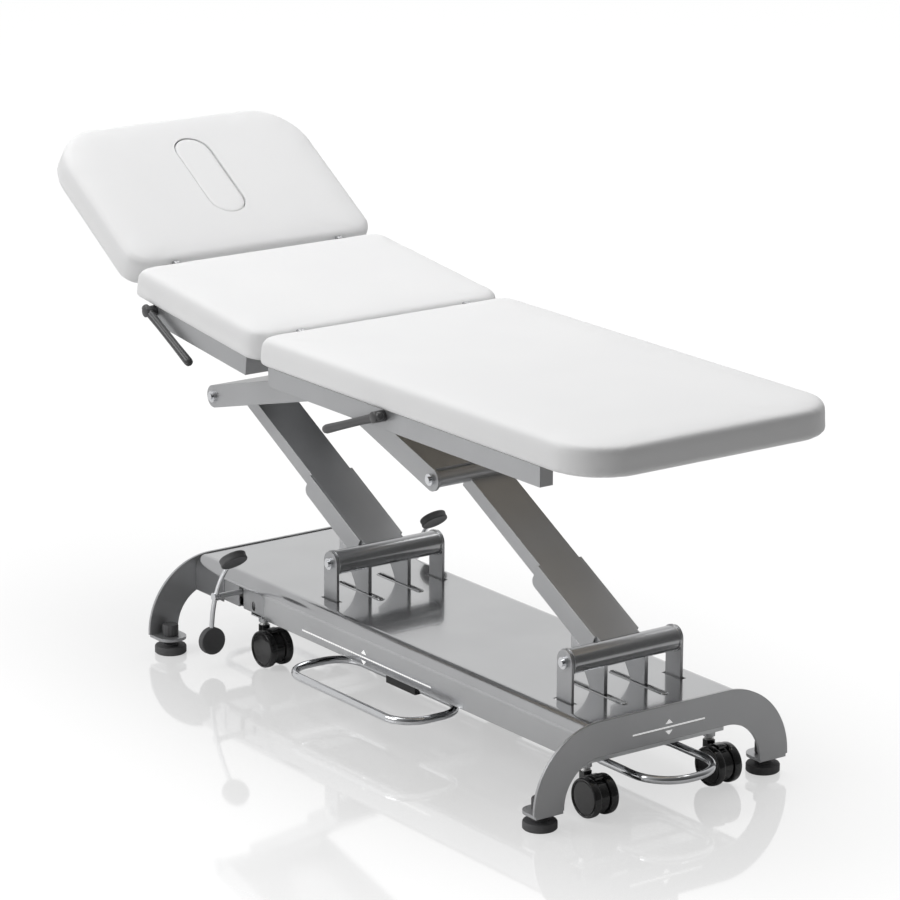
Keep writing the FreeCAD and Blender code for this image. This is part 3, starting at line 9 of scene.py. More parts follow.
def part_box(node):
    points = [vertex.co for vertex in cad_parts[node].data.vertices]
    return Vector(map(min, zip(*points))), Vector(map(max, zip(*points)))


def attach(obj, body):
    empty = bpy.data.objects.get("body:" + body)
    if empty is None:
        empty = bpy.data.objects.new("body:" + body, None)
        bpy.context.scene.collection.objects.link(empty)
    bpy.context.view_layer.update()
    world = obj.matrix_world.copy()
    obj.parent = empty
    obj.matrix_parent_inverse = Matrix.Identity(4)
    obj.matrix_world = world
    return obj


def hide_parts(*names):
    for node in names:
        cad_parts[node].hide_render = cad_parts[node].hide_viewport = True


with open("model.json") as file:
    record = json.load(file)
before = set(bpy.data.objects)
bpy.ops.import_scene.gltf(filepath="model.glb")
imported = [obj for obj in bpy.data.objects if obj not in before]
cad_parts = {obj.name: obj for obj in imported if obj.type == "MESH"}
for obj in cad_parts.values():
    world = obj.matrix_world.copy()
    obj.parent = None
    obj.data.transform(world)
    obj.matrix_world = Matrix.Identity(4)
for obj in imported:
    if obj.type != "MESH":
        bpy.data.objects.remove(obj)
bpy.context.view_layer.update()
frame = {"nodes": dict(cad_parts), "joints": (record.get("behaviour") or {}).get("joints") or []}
cad = frame["nodes"]
joint_at = {joint["name"]: Vector(joint["pos_m"]) for joint in frame["joints"]
            if "pos_m" in joint}
scene = bpy.context.scene
cover_low, cover_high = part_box("base_cover")
chassis_x = (cover_low.x + cover_high.x) / 2


# Camera
# A long lens from the foot end's near corner, a little above the top, as in the photograph.
camera_place = Vector((chassis_x + 6.37676, -4.68126, 2.74067))
camera_yaw, camera_pitch, camera_roll = (math.radians(a) for a in (143.80, -15.51, 0.26))
camera_sensor, camera_lens = 36, 164.37
camera_far_clip = 60
camera_data = bpy.data.cameras.new("camera")
camera_data.sensor_width = camera_sensor
camera_data.lens = camera_lens
camera_data.clip_end = camera_far_clip
camera = bpy.data.objects.new("camera", camera_data)
scene.collection.objects.link(camera)
toward = Vector((math.cos(camera_yaw) * math.cos(camera_pitch),
                 math.sin(camera_yaw) * math.cos(camera_pitch), math.sin(camera_pitch)))
camera.rotation_mode = "QUATERNION"
camera.rotation_quaternion = (toward.to_track_quat("-Z", "Y")
                              @ Matrix.Rotation(camera_roll, 3, "Z").to_quaternion())
camera.location = camera_place
scene.camera = camera


# Studio
# A glossy white floor under a bright room. One soft box hangs over the near side and a
# larger one over the couch. The floor keeps a faint shadow and a mirror image.
class Nodes:
    """Empty node tree of a material or world, with short ways to add and join nodes."""

    def __init__(self, owner):
        owner.use_nodes = True
        self.tree = owner.node_tree
        self.tree.nodes.clear()

    def add(self, kind, **settings):
        """Add a node. A setting is the value of an input or else of an attribute."""
        node = self.tree.nodes.new(kind)
        for key, value in settings.items():
            label = key.replace("_", " ")
            if label in node.inputs:
                node.inputs[label].default_value = value
            else:
                setattr(node, key, value)
        return node

    def join(self, source, target):
        self.tree.links.new(source, target)

    def remap(self, source, ends, new_ends, curve="LINEAR"):
        """Map the two ends of a value onto new ends."""
        node = self.add("ShaderNodeMapRange", interpolation_type=curve, From_Min=ends[0],
                        From_Max=ends[1], To_Min=new_ends[0], To_Max=new_ends[1])
        self.join(source, node.inputs["Value"])
        return node.outputs[0]

    def mix(self, factor, first, second):
        """Mix two shaders."""
        node = self.add("ShaderNodeMixShader")
        for source, target in zip((factor, first, second), node.inputs):
            self.join(source, target)
        return node.outputs[0]


def new_object(name, bm):
    """Turn a finished bmesh into an object of the scene."""
    mesh = bpy.data.meshes.new(name)
    bm.to_mesh(mesh)
    bm.free()
    obj = bpy.data.objects.new(name, mesh)
    scene.collection.objects.link(obj)
    return obj


floor_half = 30.0
# Painted shade: in reflections and bounced light the floor's colour falls from 0.88 to 0.12
# between X 1.9 and 3.0, so that metal faces toward +X look shaded.
floor_light_tone, floor_painted_shade_tone = 0.88, 0.12
floor_light_x, floor_painted_shade_x = 1.9, 3.0     # between these the mirrored floor darkens
floor_near_glow, floor_far_glow = 0.55, 1.0    # how much of the floor only glows
floor_near_reach, floor_far_reach = 0.40, 1.15
floor_reach_stretch = (0.55, 1.0, 1.0)     # the couch's shadow is long along X
floor_glow_strength = 1.16
floor_gloss_roughness = 0.05
floor_gloss_index = 1.9


def floor_white():
    """Matt floor that glows away from the couch, under a clear gloss."""
    material = bpy.data.materials.new("floor_white")
    floor = Nodes(material)
    spot = floor.add("ShaderNodeNewGeometry").outputs["Position"]
    sight = floor.add("ShaderNodeLightPath").outputs["Is Camera Ray"]
    along = floor.add("ShaderNodeSeparateXYZ")
    floor.join(spot, along.inputs[0])
    # Painted shade, seen only in reflections and bounced light: the floor's colour darkens
    # toward +X.
    painted_floor_shade = floor.remap(along.outputs["X"], (floor_light_x, floor_painted_shade_x),
                       (floor_light_tone, floor_painted_shade_tone))
    tone = floor.add("ShaderNodeMix", data_type="FLOAT", B=floor_light_tone)
    floor.join(sight, tone.inputs["Factor"])
    floor.join(painted_floor_shade, tone.inputs["A"])
    matt = floor.add("ShaderNodeBsdfDiffuse")
    floor.join(tone.outputs[0], matt.inputs["Color"])
    oval = floor.add("ShaderNodeVectorMath", operation="MULTIPLY")
    oval.inputs[1].default_value = floor_reach_stretch
    floor.join(spot, oval.inputs[0])
    reach = floor.add("ShaderNodeVectorMath", operation="LENGTH")
    floor.join(oval.outputs[0], reach.inputs[0])
    spread = floor.remap(reach.outputs["Value"], (floor_near_reach, floor_far_reach),
                         (floor_near_glow, floor_far_glow))
    share = floor.add("ShaderNodeMath", operation="MULTIPLY")
    floor.join(spread, share.inputs[0])
    floor.join(sight, share.inputs[1])
    glow = floor.add("ShaderNodeEmission", Strength=floor_glow_strength)
    body = floor.mix(share.outputs[0], matt.outputs[0], glow.outputs[0])
    gloss = floor.add("ShaderNodeBsdfAnisotropic", Color=(1, 1, 1, 1),
                      Roughness=floor_gloss_roughness)
    slant = floor.add("ShaderNodeFresnel", IOR=floor_gloss_index)
    whole = floor.mix(slant.outputs[0], body, gloss.outputs[0])
    floor.join(whole, floor.add("ShaderNodeOutputMaterial").inputs[0])
    return material


floor_sheet = bmesh.new()
bmesh.ops.create_grid(floor_sheet, x_segments=1, y_segments=1, size=floor_half)
studio_floor = new_object("studio_floor", floor_sheet)
studio_floor.data.materials.append(floor_white())

# The room is brighter toward the head end, and brightest behind the couch, where level
# faces mirror it to the camera.
world = bpy.data.worlds.new("white_room")
scene.world = world
room = Nodes(world)
mirror_way = Vector((math.cos(camera_yaw), math.sin(camera_yaw), math.sin(-camera_pitch)))
lit_ends, lit_strengths = (-0.7, 1.0), (0.60, 0.16)
sheen_ends, sheen_strengths = (-0.8, 0.8), (0.85, 0.10)
behind_ends, behind_strengths = (0.80, 0.93), (0.0, 1.0)
seen_strength = 1.0


def larger(first, second):
    """The larger of two values."""
    node = room.add("ShaderNodeMath", operation="MAXIMUM")
    room.join(first, node.inputs[0])
    room.join(second, node.inputs[1])
    return node.outputs[0]


def room_glow(strength):
    """Background of a linked strength."""
    glow = room.add("ShaderNodeBackground")
    room.join(strength, glow.inputs["Strength"])
    return glow.outputs[0]


path = room.add("ShaderNodeLightPath")
way = room.add("ShaderNodeTexCoord").outputs["Generated"]
split = room.add("ShaderNodeSeparateXYZ")
room.join(way, split.inputs[0])
facing = room.add("ShaderNodeVectorMath", operation="DOT_PRODUCT")
facing.inputs[1].default_value = mirror_way.normalized()
room.join(way, facing.inputs[0])
lit = room.remap(split.outputs["X"], lit_ends, lit_strengths, "SMOOTHSTEP")
sheen = room.remap(split.outputs["X"], sheen_ends, sheen_strengths, "SMOOTHSTEP")
behind = room.remap(facing.outputs["Value"], behind_ends, behind_strengths, "SMOOTHSTEP")
straight = larger(path.outputs["Is Camera Ray"], path.outputs["Is Transmission Ray"])
mirrored = room.mix(path.outputs["Is Glossy Ray"], room_glow(lit),
                    room_glow(larger(sheen, behind)))
backdrop = room.add("ShaderNodeBackground", Strength=seen_strength)
room.join(room.mix(straight, mirrored, backdrop.outputs[0]),
          room.add("ShaderNodeOutputWorld").inputs[0])


def soft_box(name, place, aim, size, power):
    light_data = bpy.data.lights.new(name, "AREA")
    light_data.shape = "RECTANGLE"
    light_data.size, light_data.size_y = size
    light_data.energy = power
    light = bpy.data.objects.new(name, light_data)
    light.location = place
    light.rotation_mode = "QUATERNION"
    light.rotation_quaternion = (Vector(aim) - Vector(place)).to_track_quat("-Z", "Y")
    scene.collection.objects.link(light)


soft_box("near_soft_box", place=(-1.4, -4.2, 3.6), aim=(0.0, 0.0, 0.5), size=(3.4, 2.4),
         power=100)
soft_box("top_soft_box", place=(-0.6, 0.6, 4.4), aim=(0.1, 0.0, 0.5), size=(4.0, 2.6),
         power=100)
scene.view_settings.view_transform = "Standard"


# Finishes
# Each finish of the couch is one principled shader. Its colour and roughness wander with
# noise that is fixed to the piece.
class Finish(Nodes):
    def __init__(self, name, **settings):
        self.material = bpy.data.materials.new(name)
        super().__init__(self.material)
        self.shader = self.add("ShaderNodeBsdfPrincipled", **settings)
        self.join(self.shader.outputs[0], self.add("ShaderNodeOutputMaterial").inputs[0])

    def fasten(self, *textures):
        """Fix textures to the object's own coordinates."""
        place = self.add("ShaderNodeTexCoord")
        for texture in textures:
            self.join(place.outputs["Object"], texture.inputs["Vector"])

    def blend(self, factor, colour, other):
        """Blend two colours by a factor."""
        node = self.add("ShaderNodeMix", data_type="RGBA")
        node.inputs[6].default_value = (*colour, 1)
        node.inputs[7].default_value = (*other, 1)
        self.join(factor, node.inputs["Factor"])
        self.join(node.outputs[2], self.shader.inputs["Base Color"])

    def roughen(self, factor, low, high):
        """Let the roughness wander between two values."""
        self.join(self.remap(factor, (0.0, 1.0), (low, high)), self.shader.inputs["Roughness"])

    def bump(self, height, strength, distance, below=None):
        """Bump the surface by a height, over another normal where one is given."""
        node = self.add("ShaderNodeBump", Strength=strength, Distance=distance)
        self.join(height, node.inputs["Height"])
        if below is not None:
            self.join(below, node.inputs["Normal"])
        self.join(node.outputs[0], self.shader.inputs["Normal"])
        return node.outputs[0]


def dress(names, material):
    """Give CAD nodes their finish."""
    for name in names:
        mesh = cad[name].data
        mesh.materials.clear()
        mesh.materials.append(material)


# Painted steel: end plates, chassis, uprights, arms, lift brackets and top frames
# Welded sheet and tube under a satin silver-grey powder coat, with a glossier coat on the
# arms' hubs. The coat has metal flake and a fine orange peel, and catches light on the
# folded and cut edges.
flake_scale, cloud_scale, peel_scale = 2600.0, 5.0, 420.0
flake_share = 0.55
flake_ends = (0.35, 1.15)
paint_tones = (0.88, 1.12)
paint_roughness = (0.85, 1.2)
peel_height = 0.0004


def flaked_paint(name, colour, metallic, roughness, coat, coat_roughness, edge, peel):
    """Metallic coat with flake, a slow change of tone, an orange peel and soft edges."""
    paint = Finish(name, Metallic=metallic, Coat_Weight=coat, Coat_Roughness=coat_roughness)
    flake = paint.add("ShaderNodeTexNoise", Scale=flake_scale, Detail=1.0)
    cloud = paint.add("ShaderNodeTexNoise", Scale=cloud_scale, Detail=3.0)
    skin = paint.add("ShaderNodeTexNoise", Scale=peel_scale, Detail=2.0)
    paint.fasten(flake, cloud, skin)
    mixed = paint.add("ShaderNodeMath", operation="MULTIPLY_ADD")
    mixed.inputs[1].default_value = flake_share
    paint.join(flake.outputs["Fac"], mixed.inputs[0])
    paint.join(cloud.outputs["Fac"], mixed.inputs[2])
    tone = paint.remap(mixed.outputs[0], flake_ends, (0.0, 1.0))
    paint.blend(tone, *([part * gain for part in colour] for gain in paint_tones))
    paint.roughen(cloud.outputs["Fac"], *(roughness * gain for gain in paint_roughness))
    rounding = paint.add("ShaderNodeBevel", samples=4, Radius=edge)
    paint.bump(skin.outputs["Fac"], peel, peel_height, rounding.outputs[0])
    return paint.material


silver_paint = flaked_paint("silver_powder_coat", (0.47, 0.475, 0.485), metallic=0.72,
                            roughness=0.36, coat=0.35, coat_roughness=0.14, edge=0.0020,
                            peel=0.10)
hub_paint = flaked_paint("hub_powder_coat", (0.52, 0.525, 0.535), metallic=0.85,
                         roughness=0.22, coat=0.5, coat_roughness=0.10, edge=0.0020,
                         peel=0.06)
dress(["end_plate_head", "end_plate_foot", "chassis_frame", "lower_pivot_uprights",
       "lift_bracket_head", "lift_bracket_foot", "leg_frame", "mid_frame", "head_frame"],
      silver_paint)
for arm in ("arm_head", "arm_foot"):
    dress([arm + "_beam", arm + "_sleeve"], silver_paint)
    dress([arm + "_hub"], hub_paint)


# Base cover
# One sheet of steel folded over the chassis, in a high-gloss silver lacquer that mirrors
# the uprights and the arms.
cover_lacquer = flaked_paint("gloss_silver_lacquer", (0.50, 0.505, 0.515), metallic=0.85,
                             roughness=0.16, coat=1.0, coat_roughness=0.03, edge=0.0015,
                             peel=0.02)
dress(["base_cover"], cover_lacquer)


# Bright steel: foot bars, pedal rods, pins and gas-spring rods in chrome, and the parts
# inside the chassis in dull zinc
haze_tone = 0.9


def bright_metal(name, colour, roughness, streak):
    """Plated steel whose shine and tone wander a little."""
    metal = Finish(name, Metallic=1.0)
    haze = metal.add("ShaderNodeTexNoise", Scale=38.0, Detail=4.0)
    metal.fasten(haze)
    metal.blend(haze.outputs["Fac"], colour, [part * haze_tone for part in colour])
    metal.roughen(haze.outputs["Fac"], roughness, roughness + streak)
    return metal.material


chrome = bright_metal("polished_chrome", (0.80, 0.81, 0.83), roughness=0.04, streak=0.05)
zinc = bright_metal("zinc_plate", (0.70, 0.71, 0.72), roughness=0.30, streak=0.18)
dress(["foot_bar_head", "foot_bar_foot", "foot_bar_near", "foot_bar_far", "pedal_rods",
       "lower_pivot_pins", "upper_pivot_pins", "backrest_rods", "headrest_rod"], chrome)
dress(["castor_beam_head", "castor_beam_foot", "foot_cam_shaft", "pedal_shaft",
       "transfer_bar", "link_bars", "actuator_rod"], zinc)


# Black pieces: switch boxes, actuator, control box, bushes, springs and castor hoods
# Moulded plastic with a fine spark texture, enamelled steel and soft rubber.
fresh_gains, scuffed_gains = (1.0, 1.0, 1.03), (1.7, 1.7, 1.75)
black_roughness = (0.8, 1.25)
black_coat_roughness = 0.08
grain_height = 0.0003


def black_finish(name, shade, roughness, grain_scale, grain, coat):
    """Black surface with a grain and faint scuffs."""
    black = Finish(name, Coat_Weight=coat, Coat_Roughness=black_coat_roughness)
    spark = black.add("ShaderNodeTexNoise", Scale=grain_scale, Detail=3.0)
    scuff = black.add("ShaderNodeTexNoise", Scale=22.0, Detail=5.0)
    black.fasten(spark, scuff)
    black.blend(scuff.outputs["Fac"], [shade * gain for gain in fresh_gains],
                [shade * gain for gain in scuffed_gains])
    black.roughen(scuff.outputs["Fac"], *(roughness * gain for gain in black_roughness))
    black.bump(spark.outputs["Fac"], grain, grain_height)
    return black.material


moulded_black = black_finish("moulded_black", shade=0.018, roughness=0.42,
                             grain_scale=1500.0, grain=0.25, coat=0.0)
gloss_black = black_finish("gloss_black", shade=0.012, roughness=0.16, grain_scale=300.0,
                           grain=0.02, coat=0.6)
black_enamel = black_finish("black_enamel", shade=0.02, roughness=0.3, grain_scale=800.0,
                            grain=0.06, coat=0.3)
soft_rubber = black_finish("soft_rubber", shade=0.070, roughness=0.60, grain_scale=900.0,
                           grain=0.35, coat=0.0)
dress(["foot_switch_boxes", "control_box", "shaft_bushes"], moulded_black)
dress(["actuator_housing", "backrest_cylinders", "headrest_cylinder"], black_enamel)
flanks = [end + "_" + flank for end in ("head", "foot") for flank in ("near", "far")]
dress(["castor_hood_" + tail for tail in flanks], gloss_black)


# Boards under the pads
# Birch plywood, seen only from below.
def plywood():
    """Pale wood with its grain along X."""
    wood = Finish("birch_plywood", Roughness=0.55)
    stretch = wood.add("ShaderNodeMapping", Scale=(3.0, 55.0, 55.0))
    wood.fasten(stretch)
    grain = wood.add("ShaderNodeTexNoise", Scale=1.0, Detail=6.0, Distortion=1.2)
    wood.join(stretch.outputs[0], grain.inputs["Vector"])
    wood.blend(grain.outputs["Fac"], (0.64, 0.57, 0.48), (0.72, 0.66, 0.57))
    wood.bump(grain.outputs["Fac"], strength=0.2, distance=0.0005)
    return wood.material


dress(["leg_board", "mid_board", "head_board"], plywood())


# Pads
# Foam on a board under white coated fabric, pulled tight. The crown is shallow, the top
# edge is soft and the sides draw in a little toward the board.
pad_half_width = 0.310
pad_crown = 0.015              # top of the crown above the hinge axis
pad_depth = 0.0672
pad_gap = 0.005
pad_inset_share = (0.06, 0.02, 0.006, 0.0, 0.0, 0.0, 0.02, 0.07, 0.15, 0.31, 1.0, 2.2)
pad_height_share = (0.0, 0.02, 0.06, 0.2, 0.45, 0.68, 0.84, 0.92, 0.962, 0.980, 0.992, 1.0)
pad_corner_share = (0.0, 0.0, 0.0, 0.0, 0.0, 0.1, 0.35, 0.7, 1.0, 1.0, 1.0, 1.0)
crown_corner = 0.046           # a square corner's radius up at the crown
corner_steps = 12
pad_crease = math.radians(50)
swell_limit = 0.0024
swell_pressure = 4.0
swell_frames = 20
swell_stiffness = 40
pad_remesh, leg_remesh, plug_remesh = 0.0065, 0.0075, 0.0028
mid_tilt = math.radians(6.63)
head_tilt = math.radians(32.4)
hinge = joint_at["backrest_hinge"]
head_hinge = joint_at["headrest_hinge"]
leg_place = Matrix.Translation(hinge)
mid_place = (Matrix.Translation(hinge) @ Matrix.Rotation(mid_tilt, 4, "Y")
             @ Matrix.Rotation(math.pi, 4, "Z"))
head_place = (Matrix.Translation(head_hinge) @ Matrix.Rotation(head_tilt, 4, "Y")
              @ Matrix.Rotation(math.pi, 4, "Z"))


def coated_fabric():
    """White coated fabric with a fine pebbled grain."""
    fabric = Finish("white_coated_fabric", Sheen_Weight=0.12, Sheen_Roughness=0.5,
                    Specular_IOR_Level=0.42)
    pebble = fabric.add("ShaderNodeTexVoronoi", Scale=820.0, feature="DISTANCE_TO_EDGE")
    wander = fabric.add("ShaderNodeTexNoise", Scale=240.0, Detail=3.0)
    broad = fabric.add("ShaderNodeTexNoise", Scale=4.0, Detail=2.0)
    fabric.fasten(pebble, wander, broad)
    fabric.blend(broad.outputs["Fac"], (0.82, 0.82, 0.825), (0.87, 0.87, 0.87))
    fabric.roughen(wander.outputs["Fac"], 0.44, 0.56)
    coarse = fabric.bump(wander.outputs["Fac"], strength=0.10, distance=0.0004)
    fabric.bump(pebble.outputs["Distance"], strength=0.16, distance=0.0002, below=coarse)
    return fabric.material


white_fabric = coated_fabric()


def level_edges(bm, z):
    """Edges of a block that lie in the level plane at Z."""
    return [edge for edge in bm.edges
            if all(abs(v.co.z - z) < pad_depth / 50 for v in edge.verts)]


def round_edges(bm, edges, radius, steps):
    bmesh.ops.bevel(bm, geom=edges, offset=radius, offset_type="OFFSET", segments=steps,
                    profile=0.5, affect="EDGES", material=-1, clamp_overlap=True)


def rounded_ring(x0, x1, half, near, far):
    """Points of a rectangle in plan with its own corner radius at each end."""
    corners = ((x1 - far, -half + far, far, -90), (x1 - far, half - far, far, 0),
               (x0 + near, half - near, near, 90), (x0 + near, -half + near, near, 180))
    points = []
    for x, y, radius, start in corners:
        for step in range(corner_steps + 1):
            angle = math.radians(start + 90 * step / corner_steps)
            points.append((x + radius * math.cos(angle), y + radius * math.sin(angle)))
    return points


def pad_block(start, end, near_radius, far_radius):
    """Foam block with a crown and drawn-in lower edge, about the hinge axis."""
    bm = bmesh.new()
    least = pad_depth / 20
    rings = []
    for inset, height, corner in zip(pad_inset_share, pad_height_share, pad_corner_share):
        inset *= pad_depth
        near, far = (max(radius + corner * max(crown_corner - radius, 0) - inset, least)
                     for radius in (near_radius, far_radius))
        z = pad_crown + (height - 1) * pad_depth
        rings.append([bm.verts.new((x, y, z))
                      for x, y in rounded_ring(start + inset, end - inset,
                                               pad_half_width - inset, near, far)])
    for lower, upper in zip(rings, rings[1:]):
        for i in range(len(lower)):
            j = (i + 1) % len(lower)
            bm.faces.new((lower[i], lower[j], upper[j], upper[i]))
    bm.faces.new(list(reversed(rings[0])))
    bm.faces.new(rings[-1])
    bmesh.ops.recalc_face_normals(bm, faces=bm.faces)
    return bm


def settle(obj):
    """Apply an object's modifiers to its mesh."""
    graph = bpy.context.evaluated_depsgraph_get()
    done = bpy.data.meshes.new_from_object(obj.evaluated_get(graph))
    obj.modifiers.clear()
    old = obj.data
    obj.data = done
    bpy.data.meshes.remove(old)


def remesh(obj, voxel):
    change = obj.modifiers.new("voxels", "REMESH")
    change.mode = "VOXEL"
    change.voxel_size = voxel
    settle(obj)


def inflate(obj, hold_below, limit):
    """Swell the fabric by air pressure over a held base, by no more than a limit."""
    start = [v.co.copy() for v in obj.data.vertices]
    held = obj.vertex_groups.new(name="held")
    held.add([i for i, co in enumerate(start) if co.z < hold_below], 1.0, "ADD")
    cloth = obj.modifiers.new("fabric", "CLOTH")
    cloth.settings.quality = 4
    cloth.settings.vertex_group_mass = "held"
    cloth.settings.use_pressure = True
    cloth.settings.uniform_pressure_force = swell_pressure
    cloth.settings.effector_weights.gravity = 0
    cloth.settings.tension_stiffness = swell_stiffness
    cloth.settings.compression_stiffness = swell_stiffness
    cloth.point_cache.frame_start = 1
    cloth.point_cache.frame_end = swell_frames
    for step in range(swell_frames):
        scene.frame_set(step + 1)
    settle(obj)
    for vertex, origin in zip(obj.data.vertices, start):
        shift = vertex.co - origin
        if shift.length > limit:
            vertex.co = origin + shift * (limit / shift.length)
    obj.vertex_groups.clear()
    scene.frame_set(1)


def relax(obj, rounds):
    """Smooth a mesh by a number of even rounds."""
    bm = bmesh.new()
    bm.from_mesh(obj.data)
    for _ in range(rounds):
        bmesh.ops.smooth_vert(bm, verts=bm.verts, factor=0.5, use_axis_x=True,
                              use_axis_y=True, use_axis_z=True)
    bm.to_mesh(obj.data)
    bm.free()


def stretch_to(obj, low, high):
    """Stretch a mesh a little, so that it just fills a box."""
    for axis in range(3):
        values = [vertex.co[axis] for vertex in obj.data.vertices]
        least, span = min(values), max(values) - min(values)
        for vertex in obj.data.vertices:
            share = (vertex.co[axis] - least) / span
            vertex.co[axis] = low[axis] + share * (high[axis] - low[axis])


def upholster(obj, box, voxel, hold_below, limit):
    """Turn a block into a fabric-covered pad that fills its box."""
    remesh(obj, voxel)
    relax(obj, 2)
    inflate(obj, hold_below, limit)
    relax(obj, 2)
    smooth = obj.modifiers.new("fine", "SUBSURF")
    smooth.levels = smooth.render_levels = 1
    settle(obj)
    stretch_to(obj, *box)


def fit_pad(obj, place, body, node):
    """Put a finished pad on its body in white fabric."""
    obj.data.transform(place)
    obj.data.shade_smooth()
    obj.data.set_sharp_from_angle(angle=pad_crease)
    obj.data.materials.clear()
    obj.data.materials.append(white_fabric)
    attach(obj, body)
    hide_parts(node)


def pad_box(length):
    """Corners of a pad's box about its hinge, seated a hair into the frame below."""
    low = (half_gap, -pad_half_width, pad_crown - pad_depth - pad_seat)
    return low, (half_gap + length, pad_half_width, pad_crown)


def stadium_block(start, length, width, z0, z1):
    """Upright block with half-round ends along X."""
    bm = bmesh.new()
    bmesh.ops.create_cube(bm, size=1.0)
    bmesh.ops.scale(bm, verts=bm.verts, vec=(length, width, z1 - z0))
    bmesh.ops.translate(bm, verts=bm.verts, vec=(start + length / 2, 0, (z0 + z1) / 2))
    ends = [edge for edge in bm.edges
            if abs(edge.verts[0].co.z - edge.verts[1].co.z) > (z1 - z0) / 2]
    round_edges(bm, ends, width / 2 * near_half_round, 16)
    return bm


def cushion(name, length, near_corner, far_corner, voxel):
    """Upholstered pad about its hinge, not yet on its body."""
    pad = new_object(name, pad_block(half_gap, half_gap + length, near_corner, far_corner))
    upholster(pad, pad_box(length), voxel, pad_hold, swell_limit)
    return pad


near_half_round = 0.999        # short of a half circle, so that no edge shrinks to nothing
pad_hold = pad_crown - pad_depth + 0.012
pad_seat = 0.0003
leg_length, mid_length, head_length = 1.068, 0.460, 0.420
square_corner, inner_corner, leg_corner, head_corner = 0.012, 0.046, 0.112, 0.120
half_gap = pad_gap / 2
leg_pad = cushion("leg_cushion", leg_length, square_corner, leg_corner, leg_remesh)
fit_pad(leg_pad, leg_place, "top", "leg_pad")
mid_pad = cushion("backrest_cushion", mid_length, inner_corner, square_corner, pad_remesh)
fit_pad(mid_pad, mid_place, "backrest", "mid_pad")


# Head pad and face plug
# The head pad has a long hole for the face. A loose plug of the same foam and fabric fills
# it flush, with a narrow groove round it.
hole_start, hole_length, hole_width = 0.112, 0.235, 0.088
plug_gap = 0.0012
plug_drop = 0.0008
plug_depth = 0.0575
plug_edge = 0.003
plug_hold = pad_crown - 0.04
plug_swell_limit = 0.0004
head_pad = cushion("headrest_cushion", head_length, inner_corner, head_corner, pad_remesh)
hole_cutter = new_object("face_hole_cutter",
                         stadium_block(hole_start, hole_length, hole_width,
                                       pad_crown - 2 * pad_depth, pad_crown + pad_depth))
cut = head_pad.modifiers.new("face_hole", "BOOLEAN")
cut.operation = "DIFFERENCE"
cut.solver = "EXACT"
cut.object = hole_cutter
settle(head_pad)
bpy.data.objects.remove(hole_cutter)
fit_pad(head_pad, head_place, "headrest", "head_pad")
plug_top = pad_crown - plug_drop
plug_block = stadium_block(hole_start + plug_gap, hole_length - 2 * plug_gap,
                           hole_width - 2 * plug_gap, plug_top - plug_depth, plug_top)
round_edges(plug_block, level_edges(plug_block, plug_top), plug_edge, 3)
face_plug = new_object("face_plug_cushion", plug_block)
plug_box = ((hole_start + plug_gap, plug_gap - hole_width / 2, plug_top - plug_depth),
            (hole_start + hole_length - plug_gap, hole_width / 2 - plug_gap, plug_top))
upholster(face_plug, plug_box, plug_remesh, plug_hold, plug_swell_limit)
fit_pad(face_plug, head_place, "face_plug", "face_plug")


# Levelling feet
# A round foot, a screw through the plate's tab and a fluted hand knob above it, all in one
# black rubbery finish.
foot_rings = ((0.0, 0.0), (0.0312, 0.0), (0.0335, 0.0022), (0.0335, 0.0140),
              (0.0320, 0.0165), (0.0240, 0.0172), (0.0165, 0.0176), (0.0160, 0.0205),
              (0.0105, 0.0215), (0.0105, 0.0302), (0.0060, 0.0304), (0.0060, 0.0372),
              (0.0150, 0.0374), (0.0168, 0.0392), (0.0170, 0.0595), (0.0158, 0.0618),
              (0.0100, 0.0623), (0.0, 0.0621))
knob_bottom_z = 0.0385
knob_core = 0.0135
knob_flutes = 14
knob_flute_depth = 0.0009


def turned_shape(rings, steps):
    """Body of revolution about Z from pairs of radius and height, closed at its poles."""
    bm = bmesh.new()
    points = [bm.verts.new((radius, 0, height)) for radius, height in rings]
    edges = [bm.edges.new(pair) for pair in zip(points, points[1:])]
    bmesh.ops.spin(bm, geom=points + edges, cent=(0, 0, 0), axis=(0, 0, 1),
                   angle=2 * math.pi, steps=steps, use_merge=True)
    bmesh.ops.remove_doubles(bm, verts=bm.verts, dist=1e-6)
    bmesh.ops.recalc_face_normals(bm, faces=bm.faces)
    return bm


def add_part(whole, part):
    """Move the faces of one bmesh into another."""
    carrier = bpy.data.meshes.new("carrier")
    part.to_mesh(carrier)
    part.free()
    whole.from_mesh(carrier)
    bpy.data.meshes.remove(carrier)


def place_piece(name, bm, matrix, body, material, replaced=(), crease=38):
    """Put a finished bmesh in place as a piece that rides on a body."""
    bmesh.ops.transform(bm, matrix=matrix, verts=bm.verts)
    obj = new_object(name, bm)
    obj.data.shade_smooth()
    obj.data.set_sharp_from_angle(angle=math.radians(crease))
    obj.data.materials.append(material)
    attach(obj, body)
    if replaced:
        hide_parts(*replaced)


for tail in flanks:
    node = "levelling_foot_" + tail
    low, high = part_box(node)
    foot = turned_shape(foot_rings, steps=84)
    for vertex in foot.verts:
        radius = math.hypot(vertex.co.x, vertex.co.y)
        if vertex.co.z > knob_bottom_z and radius > knob_core:
            turn = math.atan2(vertex.co.y, vertex.co.x)
            inward = knob_flute_depth * (0.5 - 0.5 * math.cos(knob_flutes * turn))
            scale = (radius - inward) / radius
            vertex.co.x *= scale
            vertex.co.y *= scale
    centre = Matrix.Translation(((low.x + high.x) / 2, (low.y + high.y) / 2, 0))
    place_piece(node + "_rubber", foot, centre, node, soft_rubber, (node,))


